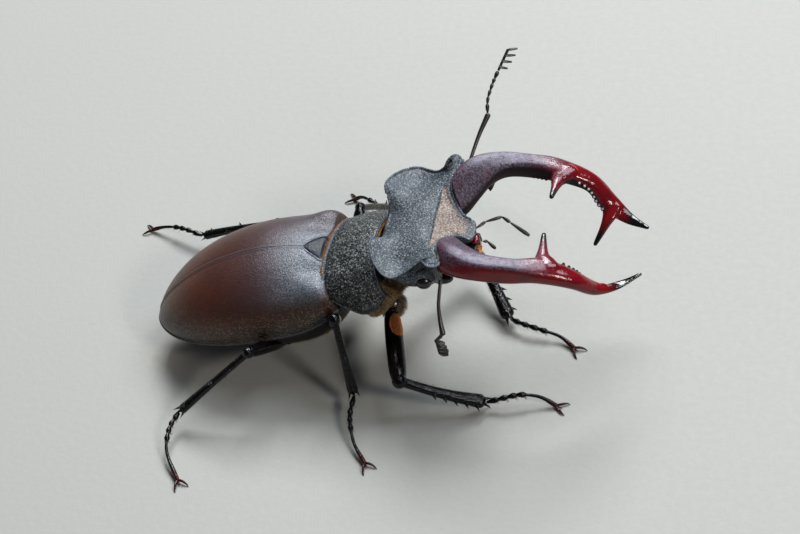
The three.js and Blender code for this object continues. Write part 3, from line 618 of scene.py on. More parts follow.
def trunk(front, rear, depth_at, rows, grooves):
    """Trunk with a groove at each given place, and a step behind it."""
    x = linspace(front, rear, rows)[:, None]
    cut = sum(bell(x - g, 0.28) for g in grooves)
    step = sum(smooth((g - x) / 3.2) * (x > g - 3.2) for g in grooves)
    return loft(rings_under_wings(x, depth_at(x) * (1 - 0.045 * cut + 0.02 * step)))


def thorax_depth(x):
    return 5.8 + 0.9 * smooth((E_FRONT - x) / 5)


def abdomen_depth(x):
    return 5.4 * (1 - clip((-13.2 - x) / 19.6, 0, 1) ** 2) ** 0.6


points, tris = trunk(-1.1, -12.9, thorax_depth, 60, (-4.6, -11.6))
piece("thorax_hind", (held_back(points, -0.55), tris), HIND, BELLY, ["hind_thorax"], CREASE)
abdomen = trunk(-13.0, -31.6, abdomen_depth, 120, (-16.6, -20.2, -23.6, -26.7, -29.2))
piece("abdomen_belly", abdomen, HIND, BELLY, ["abdomen"], CREASE)


# --- prothorax
PRONOTUM = [(0.1, 8.0, 2.2, 5.4), (1.5, 8.6, 1.1, 5.7), (3.3, 9.3, -0.2, 5.8),
            (5.2, 9.8, -1.3, 5.6), (7.0, 9.3, -1.4, 5.2), (8.8, 7.9, -0.7, 4.6)]
P_REAR, P_FRONT = PRONOTUM[0][0], PRONOTUM[-1][0]


def pronotum_section(x):
    """Half width, rim height and crown height of the pronotum at each x, as columns."""
    t = (x - P_REAR) / (P_FRONT - P_REAR)
    for _ in range(8):
        t = t + (x - through(PRONOTUM, t)[:, 0]) / (P_FRONT - P_REAR)
    return through(PRONOTUM, t).T[1:, :, None]


def pronotum_dome(x, k):
    """Points of the pronotum at each x, k of the way from its crown to its left (1) or right (-1) rim."""
    grid = dome(x[:, None], *pronotum_section(x), np.abs(k), (1, 1))
    grid[..., 1] *= sign(k)
    return grid


def pronotum():
    x, k = linspace(P_REAR, P_FRONT, 130), linspace(-1, 1, 261)[None]
    grid = pronotum_dome(x, k)
    normal = grid_normals(grid, (0, 0, 1))
    x, y = x[:, None], grid[..., 1]
    from_rim, rear, fore = (1 - np.abs(k)) * 12.5, x - P_REAR, P_FRONT - x
    # Where the painted highlight runs along the rims.
    painted_bead_highlight = bell(from_rim - 0.1, 0.16) + bell(rear - 0.1, 0.14) + bell(fore - 0.1, 0.14)
    lift = (ridges(from_rim, (0.2, 0.08, 0.18), (-0.14, 0.42, 0.2))
            + ridges(rear, (0.15, 0.08, 0.15), (-0.14, 0.4, 0.2))
            + ridges(fore, (0.14, 0.08, 0.15), (-0.12, 0.4, 0.2))
            - 0.12 * bell(y, 0.35) * smooth(rear / 2) * smooth(fore / 2)
            - 0.2 * bell(x - 3.6, 0.9) * bell(np.abs(y) - 4.6, 1.1)
            - 0.12 * bell(x - 2.0, 1.2) * bell(y, 2.0))
    outer = grid + normal * lift[..., None]
    return plate(outer, outer - normal * 0.55), clip(painted_bead_highlight, 0, 1)


def prothorax_rings():
    share = linspace(0, 1, 60)
    x = mix(P_REAR, P_FRONT, share)
    half, rim, crown = pronotum_section(x)
    depth = 5.3 * (0.72 + 0.28 * sin(pi * clip(share * 1.1, 0, 1)))[:, None] + rim
    x = (x - 0.15 * (2 * share - 1))[:, None]
    return trunk_rings(x, half - 0.85, rim - 0.15, crown - 0.85, depth, 140)


shield, painted_bead_highlight = pronotum()
piece("pronotum_plate", shield, FORE, PUNCTURED, ["pronotum"], CREASE, edge=painted_bead_highlight)
piece("prothorax_belly", loft(prothorax_rings()), FORE, BELLY, ["prothorax_underside"], CREASE)


# --- head
# The left half of the rim seen from above, from the neck to the front.
HEAD_OUTLINE = [
    (-0.7, 0, 1.6), (-0.55, 2.5, 1.8), (-1.3, 4.9, 4.2), (-1.3, 6.6, 3.9), (-0.5, 8.6, 3.3),
    (0.9, 10.2, 2.6), (2.4, 10.8, 2.3), (3.8, 10.2, 2.5), (5.6, 9.2, 3.2), (6.8, 9.1, 4.1),
    (7.35, 9.95, 4.75), (8.3, 10.8, 4.95), (9.5, 10.15, 4.5), (9.2, 8.2, 4.3), (8.5, 6.5, 4.0),
    (8.7, 4.9, 3.4), (9.6, 3.3, 2.6), (10.6, 2.1, 1.7), (12.1, 1.8, 0.6), (12.6, 0, 0.5)]
# Heights of the top inside its outline.
HEAD_TOP = array([
    (1.2, 0, 2.4), (3.2, 0, 3.15), (5.2, 0, 3.5), (6.7, 0, 3.62), (1.0, 3.0, 2.7), (1.0, 5.5, 3.0),
    (1.6, 7.8, 2.3), (3.3, 8.2, 2.1), (3.4, 5.0, 2.95), (5.2, 3.5, 3.45), (5.2, 6.6, 3.0),
    (6.8, 4.5, 3.5), (6.7, 7.2, 3.45), (7.8, 8.4, 4.1), (8.1, 9.3, 4.7), (8.4, 10.0, 5.0),
    (8.2, 3.6, 2.95), (8.2, 0, 2.75), (9.7, 0, 1.85), (11.3, 0, 0.95)])
HEAD_CENTRE = array([4.0, 0.0])
HINGE = array([8.5, 7.3, -1.5])


def head_edge(count):
    t = 2 * np.arange(count) / count
    edge = through(HEAD_OUTLINE, minimum(t, 2 - t))
    edge[:, 1] *= where(t <= 1, 1, -1)
    return edge


def cranium(edge, share, z):
    """Ring round the head's lower part, at a share of its full girth."""
    d = edge[:, :2] - HEAD_CENTRE
    way = unit(d)
    reach = column_stack([where(d[:, 0] > 0, 5.5, 5.6), np.full(len(d), 8.5)])
    girth = share / (np.abs(way / reach) ** 2.8).sum(1) ** (1 / 2.8)
    return section(*(HEAD_CENTRE + way * girth[:, None]).T, z)


def sheet_through(known):
    """Height of a thin bent sheet that passes through points (x, y, z), as a function of x, y."""
    at, height = known[:, :2], known[:, 2]
    count = len(at)

    def bend(a, b):
        square = ((a[:, None] - b[None]) ** 2).sum(-1)
        return square * np.log(maximum(square, 1e-12)) / 2

    flat = column_stack([np.ones(count), at])
    system = np.block([[bend(at, at) + 0.01 * np.eye(count), flat], [flat.T, np.zeros((3, 3))]])
    weights = np.linalg.solve(system, concatenate([height, np.zeros(3)]))
    return lambda q: bend(q, at) @ weights[:count] + column_stack([np.ones(len(q)), q]) @ weights[count:]


HEAD_EDGE = head_edge(460)
RIGHT_TOP = HEAD_TOP[HEAD_TOP[:, 1] > 0] * (1, -1, 1)
head_height = sheet_through(concatenate([HEAD_EDGE[::5], HEAD_TOP, RIGHT_TOP]))


def head_base():
    z = HEAD_EDGE[:, 2]

    def toward(share, level=None):
        at = HEAD_CENTRE + (HEAD_EDGE[:, :2] - HEAD_CENTRE) * share
        return column_stack([at, head_height(at) if level is None else level])

    levels = ((0.3, -5.0), (0.6, -4.85), (0.86, -3.6), (0.98, -1.4), (0.97, minimum(z - 2.0, 0.6)))
    keys = [cranium(HEAD_EDGE, *level) for level in levels]
    keys += [toward(share, z - drop) for share, drop in ((0.9, 1.15), (0.965, 0.75), (0.995, 0.4))]
    below = through(keys, linspace(0, 1, 8 * (len(keys) - 1) + 1))
    above = [toward(s) for s in (1.0, 0.985, 0.965, *linspace(0.94, 0.02, 34))]
    return loft(concatenate([below, above]))


# The bar across the eye, and the wall of the mandible's socket.
EYE_BAR = [(3.4, 7.6, -0.6, 1.5, 1.6), (5.2, 8.2, -0.6, 1.0, 1.4), (7.9, 8.0, 0.4, 0.6, 1.5)]
SOCKET_WALL = [(8.0, 7.6, -1.0, 0.5, 1.2), (8.5, 8.6, 0.8, 0.7, 0.8), (8.6, 9.5, 3.2, 0.6, 0.7)]


def head():
    cheeks = limb(EYE_BAR, 20, 20), limb(SOCKET_WALL, 20, 16), blob(HINGE, (1.7, 0.9, 0.9), 30)
    parts = [head_base()] + [part for cheek in cheeks for part in (cheek, mirrored(cheek))]
    points, tris = fused(parts, 0.1)
    x, y, z = points.T
    aside = np.abs(y)
    folded = column_stack([x, aside, z])
    normal = point_normals(points, tris)
    up = smooth((normal[:, 2] - 0.1) / 0.3)
    samples = linspace(0, 1, 400)
    outline, corner = through(HEAD_OUTLINE, samples), samples * (len(HEAD_OUTLINE) - 1)
    high = z > -0.5

    def from_rim(first, last):
        """Distance of the upper points to the rim between two of its corners."""
        gap = np.full(len(points), 9.0)
        gap[high] = nearest(folded[high], outline[(corner > first) & (corner < last)])[1]
        return gap

    rim, crest, socket = from_rim(-1, len(HEAD_OUTLINE)), from_rim(1.7, 12.3), from_rim(12.0, 17.6)
    face = smooth((x - 6.95) / 0.3) * smooth((6.2 - aside) / 0.8)
    lift = (ridges(crest, (0.14, 0.05, 0.14), (-0.12, 0.42, 0.2))
            + ridges(socket, (0.14, 0.03, 0.12), (-0.12, 0.36, 0.17))
            + up * (0.07 * bell(x - 6.75, 0.25) * smooth((5.4 - aside) / 0.8)
                    - 0.24 * face * smooth((rim - 0.3) / 0.7)))
    points = points + normal * lift[:, None]
    frons = (smooth((x - 7.05) / 0.3) * up * smooth((6.4 - aside) / 1.4) * smooth((socket - 0.3) / 0.8)
             * (1 - smooth((x - 10.9) / 0.9)))
    # The edge mask is where a pale highlight is painted along the crests and the socket rims, outside the
    # frons.
    edge = maximum(bell(crest, 0.2), bell(socket, 0.14)) * (1 - frons)
    # Painted shade: the rear walls of the canthi, the bulbs on them, the hinges under the mandibles and the
    # downward faces are painted near black; the same mask makes them glossy.
    wall = smooth((-0.1 - normal[:, 0]) / 0.3) * (1 - edge)
    gloss = np.max([near(folded, (7.4, 9.8, 4.1), 1.15, 0.3, (1.2, 1.6, 1.3)) * wall,
                    near(folded, HINGE, 1.1, 0.3, (2.0, 1.3, 1.3)),
                    near(points, (7.55, 10.2, 4.7), 1.1, 0.3, (0.85, 0.9, 0.9)) * (1 - 0.7 * edge),
                    0.85 * smooth((0.1 - normal[:, 2]) / 0.5)], axis=0)
    piece("head_capsule", (points, tris), HEAD, HEAD_SKIN, ["head"], frons=frons, edge=edge, gloss=gloss)


NECK_SIDES = 72


def ring_points(x, half, low, high, count=NECK_SIDES):
    a = angles(count)
    return section(x, half * cos(a), mix(low, high, (1 + sin(a)) / 2))


def neck_rings():
    back = moved(ring_points(8.75, 5.6, -3.6, 3.6), np.linalg.inv(HEAD) @ FORE)
    share = linspace(0, 1, 40)[:, None, None]
    rings = mix(back, ring_points(0.6, 5.6, -3.4, 1.6), share)
    pull = 1 - 0.05 * sin(share * pi) - 0.02 * cos(share * 38)
    middle = rings.mean(1, keepdims=True)
    return middle + (rings - middle) * pull


head()
both_sides("compound_eye", blob((6.2, 8.7, -0.85), (1.2, 0.95, 1.1), 56), HEAD, EYE, "eye")
piece("neck_folds", loft(neck_rings()), HEAD, MEMBRANE, ["neck"], CREASE)


# --- mandibles
# Left mandible: x, y, z, half width, half height, twist about the centre line in degrees.
MANDIBLE = [
    (8.8, 5.2, 1.5, 2.7, 2.5, 31), (11.8, 8.25, 3.4, 2.6, 2.25, 40), (15.3, 9.8, 3.85, 1.8, 1.76, 22),
    (19.7, 10.0, 3.45, 1.42, 1.77, 5), (23.8, 9.5, 3.05, 1.83, 1.4, -13), (27.9, 9.2, 1.0, 1.42, 1.22, 2),
    (30.3, 8.1, -1.85, 1.42, 0.96, 12), (33.2, 6.35, -3.38, 0.95, 0.33, 16),
    (36.3, 4.35, -3.15, 0.32, 0.25, 20)]
TOOTH = [(24.15, 9.2, 3.1, 2.5, 1.3), (23.95, 8.1, 3.25, 1.75, 1.1), (23.75, 7.2, 3.35, 1.1, 0.85),
         (23.65, 6.2, 3.5, 0.75, 0.68), (23.58, 5.2, 3.7, 0.57, 0.54), (23.5, 4.3, 3.85, 0.46, 0.44),
         (23.45, 3.5, 3.95, 0.36, 0.34)]
PRONG = [(30.8, 7.6, -2.2, 1.5, 0.6), (30.6, 6.4, -2.75, 1.15, 0.62), (30.1, 5.2, -3.35, 0.74, 0.6),
         (29.6, 4.2, -3.95, 0.54, 0.5), (29.1, 3.3, -4.5, 0.43, 0.42), (28.7, 2.6, -4.95, 0.33, 0.33)]
SMALL_TOOTH = [(13.8, 7.8, 2.2, 0.5, 0.5), (13.7, 7.3, 1.75, 0.34, 0.34), (13.6, 7.0, 1.45, 0.18, 0.18)]


def tucked(points):
    """Points of the mandible's base kept under the head's top and its rim."""
    base = np.flatnonzero(points[:, 0] < 12.5)
    q = points[base]
    rim = nearest(q[:, :2], HEAD_EDGE[:, :2])[0]
    line = unit(np.roll(HEAD_EDGE[:, :2], -1, 0) - np.roll(HEAD_EDGE[:, :2], 1, 0))[rim]
    away = q[:, :2] - HEAD_EDGE[rim, :2]
    outside = away[:, 1] * line[:, 0] - away[:, 0] * line[:, 1]
    under = head_height(q[:, :2]) - 0.25 - 0.4 * smooth(-outside / 0.4)
    limit = where(outside < 0, under, HEAD_EDGE[rim, 2] - 0.25 + 5 * outside)
    kept = array(points)
    kept[base, 2] = minimum(q[:, 2], limit)
    return kept


def jaw_section(t):
    """Centres, inward and upward directions and half sizes of the mandible at shares t of its line."""
    values, tangent = course(MANDIBLE, t)
    level = unit(cross(UP, tangent))
    upright = cross(tangent, level)
    c, s = (f(np.radians(values[:, 5:6])) for f in (cos, sin))
    return values[:, :3], level * c + upright * s, upright * c - level * s, values[:, 3:5]


def beam():
    """The mandible's shaft: squarish at its base, keeled towards its tip, with its root inside the head."""
    t = linspace(0, 1, 160)
    centre, aside, above, half = jaw_section(t)
    rings = ovals(centre, aside, above, half, angles(64), mix(3.0, 2.0, smooth((t - 0.25) / 0.45))[:, None])
    root = rings[0] + (array([-2.4, -2.0, -1.3]) * linspace(1, 0.1, 10)[:, None])[:, None]
    end = centre[-1] + (rings[-1] - centre[-1]) * 0.55 + (0.2, -0.14, 0.02)
    return loft(concatenate([root, rings, end[None]]))


def mandible():
    """The left mandible, its masks, and the tops of the denticles before its large tooth."""
    parts = [fused([beam()] + [limb(path, 30, 22) for path in (TOOTH, PRONG)], 0.085, 32),
             limb(SMALL_TOOTH, 20, 16)]
    knobs = [(t, mix(0.2, 0.27, k / 3), -0.45) for k, t in enumerate(linspace(0.385, 0.45, 4))]
    knobs += [(t, mix(0.25, 0.36, k / 7), 0.24) for k, t in enumerate(linspace(0.578, 0.752, 8))]
    tops, seats = [], []
    for share, radius, height in knobs:
        centre, aside, above, half = (row[0] for row in jaw_section(array([share])))
        seats.append((centre - aside * half[0] + above * half[1] * height, radius * 1.6))
        at = centre - aside * half[0] * (1 - 0.25 * height**2) + above * half[1] * height
        tops.append(at - aside * radius * 0.5 + above * radius * 0.6)
        parts.append(blob(at, (radius, radius * 1.25, radius), 16))
    points, tris = fused(parts, 0.085)
    normal = point_normals(points, tris)
    samples = linspace(0, 1, 200)
    line, aside, above, _ = jaw_section(samples)
    closest = nearest(points, line)[0]
    t = samples[closest]
    inward, upward = -(normal * aside[closest]).sum(1), (normal * above[closest]).sum(1)
    grainy = 0.45 * smooth(inward / 0.3) * (1 - smooth((t - 0.3) / 0.15))
    # Painted reflection: upward faces of the base take the lilac grey that stands in for the reflected sky,
    # and a rough granular finish.
    satin = smooth((normal[:, 2] - 0.42 + grainy) / 0.35) * (1 - smooth((t - 0.36) / 0.2))
    # Painted shade: inward and downward faces, more so near the base, and the root where it enters the head
    # are painted near black and made rough; the denticles' seats are dark in their own right.
    painted_throat_shade = 0.4 * (1 - smooth((t - 0.25) / 0.15))
    inner = np.max([smooth((0.9 * inward - 0.55 * upward - 0.3 + painted_throat_shade) / 0.4) * 0.95,
                    (1 - smooth((t - 0.02) / 0.07)) * (1 - smooth(normal[:, 2] / 0.3)),
                    *(near(points, seat, reach, 0.15) for seat, reach in seats)], axis=0)
    tips = zip((TOOTH, PRONG, SMALL_TOOTH), (2.4, 4.4, 2.0))
    tip = np.max([smooth((points[:, 0] - 31.6) / 2.4),
                  *(near(points, tooth[-1][:3], 1, 1 / 1.3, reach) for tooth, reach in tips)], axis=0)
    # Painted highlight: a white glint painted on top of each denticle between the large tooth and the prong.
    pale = np.max([near(points, at, 1, 1 / 1.4, 0.25) for at in tops[4:]], axis=0)
    # Painted highlight: the crest mask marks the upward-facing top, beyond the root, for a pale sheen.
    crest = smooth((normal[:, 2] - 0.8) / 0.16) * smooth((t - 0.08) / 0.1)
    marks = {"satin": satin, "tip": tip, "pale": pale, "inner": inner * (1 - tip), "crest": crest}
    return (tucked(points), tris), marks, tops[4:]


def jaws():
    """Both mandibles. The right one's prong is worn short, and its denticles stand a little higher."""
    (points, tris), marks, tops = mandible()
    piece("jaw_left", (points, tris), HEAD, JAW, ["mandible_left"], **marks)
    tip = PRONG[-1][:3]
    worn = points + (PRONG[0][:3] - points) * (0.9 * near(points, tip, 6.8, 2.2))[:, None]
    for top in tops:
        worn += near(points, top, 1, 1 / 1.3, 0.6)[:, None] * (0.0, -0.16, 0.16)
    marks["tip"] = maximum(marks["tip"], near(points, tip, 5.7, 0.9))
    # No painted glints on the right mandible.
    marks["pale"] = ()
    piece("jaw_right", mirrored((worn, tris)), HEAD, JAW, ["mandible_right"], **marks)


jaws()


# --- feelers, palps and mouth
def chain(joints, radii):
    """Bead-shaped segments between joints; each widens towards its far end."""
    profile = ((0.06, 0.5), (0.4, 0.85), (0.75, 1), (0.93, 0.75))
    return merged([limb([(*mix(array(a), array(b), s), radius * w) for s, w in profile], 12, 16)
                   for a, b, radius in zip(joints[:-1], joints[1:], radii)])


def joint_pale(points, joints, reach):
    return np.max([near(points, joint, reach, reach) for joint in joints], axis=0) * 0.8


def leaf(base, way, up, length, wide, thick):
    """Flat rounded lamella from its base along a direction."""
    way = unit(way)
    up = unit(up - way * np.dot(up, way))
    share = linspace(0, 1, 15)
    body = sin(clip(share * 1.08 + 0.06, 0, 1) * pi * 0.86) ** 0.6
    half = column_stack([body * wide, body**0.6 * thick])
    centre = base + np.outer(share * length, way)
    return loft(ovals(centre, cross(way, up)[None], up[None], half, angles(18)))


ANTENNAE = {
    "left": dict(
        scape=[(9.4, 10.3, 1.4), (10.0, 12.7, 2.5), (10.95, 15.5, 4.2), (12.1, 17.9, 5.8)],
        stalk=[(12.05, 18.2, 6.0), (12.0, 19.1, 6.9), (12.1, 19.9, 7.6), (12.4, 20.7, 8.2),
               (12.7, 21.4, 8.8), (13.0, 22.0, 9.3), (13.45, 22.75, 9.95)],
        club=[(13.6, 22.9, 10.2), (15.1, 25.0, 12.5)], bend=(0.9, 0.0, -0.45)),
    "right": dict(
        scape=[(9.1, -9.6, 0.6), (8.9, -12.1, -1.5), (9.1, -13.6, -3.1), (9.5, -15, -4.5)],
        stalk=[(9.3, -15.05, -4.8), (8.85, -14.7, -5.7), (8.5, -14.3, -6.4), (8.2, -13.85, -7.05),
               (7.9, -13.5, -7.7), (7.65, -13.2, -8.3), (7.35, -12.85, -9.0)],
        club=[(7.3, -12.7, -9.3), (7.1, -12.2, -12.6)], bend=(0.9, 0.25, -0.2))}
PALPS = {
    "maxillary_left": [(12.0, 1.7, -0.9), (13.2, 3.0, -0.9), (15.4, 4.2, -1.1), (16.6, 3.6, -1.6),
                       (19.4, 2.7, -3.5)],
    "labial_left": [(12.9, 0.9, -2.8), (13.4, 1.2, -3.1), (14.6, 0.6, -4.0)],
    "maxillary_right": [(12.7, -2.1, -1.7), (13.7, -3.5, -2.2), (15.2, -4.8, -2.9), (16.8, -5.0, -3.9),
                        (18.2, -4.7, -4.9)],
    "labial_right": [(12.9, -0.9, -2.9), (13.6, -1.6, -3.5), (14.5, -2.3, -4.5)]}
PALP_RADII = {"maxillary": (0.24, 0.26, 0.27, 0.3), "labial": (0.24, 0.28)}


def club(ends, bend):
    """The feeler's club: a stem with four lamellae on one side."""
    root, tip = array(ends)
    stem = tip - root
    parts = [limb([(*root, 0.2), (*mix(root, tip, 0.9), 0.22)], 16, 12)]
    for i, length in enumerate((1.35, 1.55, 1.7, 1.6)):
        way = unit(array(bend)) + unit(stem) * (0.15 + 0.12 * i)
        base = root + stem * (0.12 + 0.27 * i) - unit(way) * 0.2
        parts.append(leaf(base, way, stem, length, 0.5, 0.19))
    return merged(parts)


for side, feeler in ANTENNAE.items():
    scape = limb([(*p, r) for p, r in zip(feeler["scape"], (0.24, 0.26, 0.31, 0.42))], 40, 18)
    stalk = chain(feeler["stalk"], (0.3, 0.26, 0.26, 0.27, 0.28, 0.32))
    joints = joint_pale(stalk[0], feeler["stalk"][1:-1], 0.2)
    for part, shape, pale in (("scape", scape, ()), ("stalk", stalk, joints),
                              ("club", club(feeler["club"], feeler["bend"]), ())):
        piece(f"feeler_{part}_{side}", shape, HEAD, FEELER, [f"antenna_{part}_{side}"], pale=pale)
for name, joints in PALPS.items():
    kind, side = name.split("_")
    palp = chain(joints, PALP_RADII[kind])
    piece("palp_" + name, palp, HEAD, FEELER, [f"{kind}_palp_{side}"],
          pale=joint_pale(palp[0], joints[1:-1], 0.3))


def upper_lip():
    lip = fused([blob((12.1, 0, -1.2), (0.7, 1.0, 0.4), 32), blob((12.45, -0.05, -1.6), (0.42, 0.6, 0.34)),
                 blob((12.72, -0.1, -1.98), (0.3, 0.3, 0.3))], 0.06)
    x = lip[0][:, 0]
    # Painted highlight: a pale glint painted on the lip's tip; the rest of the lip is darkened as its own
    # colour.
    piece("upper_lip", lip, HEAD, JAW, ["labrum"], tip=0 * x + 0.35, pale=0.6 * smooth((x - 12.8) / 0.15))


def mouth():
    share = linspace(0, 1, 14)
    rings = [ring_points(mix(9.9, 12.4, s), 3.1 * (1 - 0.35 * s), -1.7 - 2.6 * (1 - 0.45 * s), -1.7, 40)
             for s in share]
    lobe = array([(11.2, 2.0, -2.8, 0.7), (12.0, 1.6, -2.7, 0.5), (12.5, 1.0, -2.8, 0.3)])
    lobes = [limb(lobe * (1, side, 1, 1), 14, 14) for side in (1, -1)]
    return fused([loft(stack(rings)), blob((11.3, 0, -3.4), (1.5, 1.6, 0.75)), *lobes], 0.1)


upper_lip()
piece("mouth_parts", mouth(), HEAD, FEELER, ["mouthparts"])


# --- legs
# Hip, knee, heel, three points of the foot, and its claw.
LEGS = {name: array(places, float) for name, places in {
    "fore_right": [(6.1, -5.3, 9.3), (8.6, -17.4, 7.7), (20.1, -16.5, 1.5),
                   (22.9, -16.4, 2.2), (25.4, -15.9, 2.25), (28.1, -15.9, 1.6), (31.1, -16.6, 0.3)],
    "mid_right": [(-2.8, -6, 8.6), (-0.2, -11.9, 15.3), (0.6, -15.7, 3),
                  (0.4, -18.6, 2.5), (0.7, -21.0, 2.0), (1.6, -23.8, 1.3), (3.6, -27.4, 0.3)],
    "hind_right": [(-10.8, -6, 4.8), (-13.6, -14.4, 11.5), (-26.1, -18, 2.7),
                   (-26.9, -20.0, 2.5), (-27.2, -22.3, 2.1), (-26.8, -25.0, 1.4), (-24.4, -30, 0.3)],
    "fore_left": [(6.9, 4.6, 9.3), (15, 11.2, 6.9), (22, -0.6, 1.8),
                  (24.5, -2.0, 1.9), (27.2, -2.9, 1.5), (29.8, -3.8, 1.0), (32.7, -6, 0.3)],
    "mid_left": [(-1.5, 6.6, 7.2), (-1.6, 15.6, 10.5), (0.3, 23.5, 2.4),
                 (-1.4, 23.9, 2.5), (-3.3, 25.7, 2.1), (-5.1, 27.4, 1.3), (-7.0, 28.3, 0.3)],
    "hind_left": [(-10.8, 6.8, 5.3), (-15.8, 16.6, 7), (-30.1, 19, 2.6),
                  (-32.8, 20.4, 2.6), (-35.2, 21.6, 2.2), (-37.8, 22.6, 1.4), (-40.9, 23.4, 0.3)]}.items()}
# Radii of the coxa, femur, tibia and tarsus.
SIZES = {"fore": (1.9, 1.28, 0.88, 0.42), "mid": (1.6, 1.08, 0.66, 0.4), "hind": (1.5, 1.08, 0.64, 0.4)}
# Profiles: share of the length, then half width and half height in radii.
FEMUR = {"fore": [(0, 0.8, 0.75), (0.1, 0.95, 0.9), (0.35, 1.04, 0.95), (0.65, 1.04, 0.95), (0.86, 0.98, 0.9),
                  (0.97, 0.8, 0.76)]}
FEMUR["mid"] = FEMUR["hind"] = [(0, 0.55, 0.5), (0.12, 0.8, 0.75), (0.35, 1, 0.9), (0.65, 1, 0.9),
                                (0.86, 0.88, 0.82), (0.96, 0.7, 0.7)]
TIBIA = [(0, 0.85, 0.85), (0.1, 0.78, 0.78), (0.35, 0.82, 0.78), (0.62, 0.95, 0.85), (0.85, 1.15, 0.95),
         (0.97, 1.25, 1.0)]
# Half widths along a tarsus segment, and along the last one.
TARSUS, CLAW_JOINT = (0.5, 0.66, 0.82, 1.0, 1.08, 0.85), (0.5, 0.6, 0.62, 0.7, 0.85, 0.8)


COXA_SIDES = 32


def coxa(leg, r):
    root = leg[0] + (-0.2, -3.6 * sign(leg[0][1]), -0.2)
    profile = ((0, 0.5), (0.35, 1), (0.75, 0.92), (1, 0.6))
    return limb([(*mix(root, leg[0], s), r * w) for s, w in profile], 24, COXA_SIDES)


def femur_start(leg):
    return leg[0] + unit(leg[1] - leg[0]) * 0.6


def femur(leg, r, profile):
    return limb([(*mix(femur_start(leg), leg[1], s), r * w, r * h) for s, w, h in profile], 40, 32, 2.2)


def spine(root, tip, radius):
    profile = ((0, radius), (0.45, radius * 0.6), (0.8, radius * 0.27), (1, 0.06))
    return limb([(*mix(root, tip, s), w) for s, w in profile], 30, 22)


def tibia(leg, r, knee_radius, fore):
    """The tibia, with its ends and the directions outside and across it."""
    hip, knee, heel = leg[:3]
    way = unit(heel - knee)
    outside = unit((knee - hip) - way * np.dot(knee - hip, way))
    across = cross(way, outside)
    start = knee + way * knee_radius * 0.25
    end = mix(start, heel, 0.965)

    def bowed(s):
        return mix(start, end, s) + outside * (0.35 if fore else 0.2) * sin(pi * s)

    parts = [limb([(*bowed(s), r * w, r * h) for s, w, h in TIBIA], 50, 24, 2.3),
             blob(knee + way * 0.1, np.full(3, knee_radius * (0.88 if fore else 0.8)))]
    # Teeth along the outer edge: share of the length and size.
    teeth = zip(linspace(0.4, 0.9, 5), linspace(0.55, 1.0, 5)) if fore else ((0.5, 0.8), (0.9, 0.8))
    for s, size in teeth:
        at = bowed(s)
        tip = at + outside * r * (1.25 + 0.75 * size) + way * r * size
        parts.append(spine(at + outside * r * 0.5, tip, r * 0.45))
    # Spurs round the far end.
    for k, size in ((1, 1.0), (-1, 0.8), (0, 0.9)):
        turn_out = across * k * 0.55 + outside * (-0.35 if k else 1)
        at = end + across * k * r * 0.6
        parts.append(spine(at - way * 0.3, at + (way * 1.5 + turn_out) * size, r * 0.42))
    return fused(parts, 0.075), (start, end, outside, across)


def foot_path(leg):
    heel, *foot, claw = leg[2:]
    return array([mix(heel, claw, 0.02), *foot, mix(heel, claw, 0.93)])


def tarsus(leg, r):
    """Five segments with two claws and the bristle between them, with a mask of the reddish end."""
    path = foot_path(leg)
    parts = []
    for a, b in ((0.0, 0.15), (0.15, 0.29), (0.29, 0.42), (0.42, 0.55), (0.55, 1.0)):
        places = through(path, linspace(a + 0.006, b - 0.006, 6))
        widths = array(CLAW_JOINT if b == 1 else TARSUS) * r
        parts.append(limb(column_stack([places, widths]), 24, 18))
    end = path[-1]
    way = unit((end - through(path, array([0.94]))[0]) * (1, 1, 0.3))
    across = unit(cross(UP, way))
    for k in (-1, 1):
        hook = [end + across * k * 0.12, end + way * 0.65 + across * k * 0.6 + (0, 0, 0.1),
                end + way * 1.25 + across * k * 0.95, end + way * 1.6 + across * k * 1.05]
        hook[2][2], hook[3][2] = max(0.28, hook[2][2] - 0.1), 0.07
        parts.append(limb([(*p, w) for p, w in zip(hook, (0.2, 0.19, 0.12, 0.05))], 24, 12))
    parts.append(limb([(*end, 0.12), (*(end + way * 0.8 - (0, 0, 0.1)), 0.05)], 8, 8))
    points, tris = merged(parts)
    points[:, 2] = maximum(points[:, 2], 0)
    reach = np.linalg.norm(points - path[0], axis=1) / np.linalg.norm(end - path[0])
    return (points, tris), 0.6 * smooth((reach - 0.75) / 0.2)


leg_frames = {}
for name, leg in LEGS.items():
    kind = name.split("_")[0]
    r_coxa, r_femur, r_tibia, r_tarsus = SIZES[kind]
    shin, leg_frames[name] = tibia(leg, r_tibia, r_femur, kind == "fore")
    foot, warm = tarsus(leg, r_tarsus)
    for part, shape, look, mask in (("coxa", coxa(leg, r_coxa), LEG, ()),
                                    ("femur", femur(leg, r_femur, FEMUR[kind]), LEG, ()),
                                    ("tibia", shin, SHIN, ()), ("tarsus", foot, LEG, warm)):
        piece(f"leg_{part}_{name}", shape, FLOOR, look, [f"{part}_{name}"], warm=mask)


# --- hairs
HAIR_PATCH = 0.0015  # radius of a hair's patch on its texture map


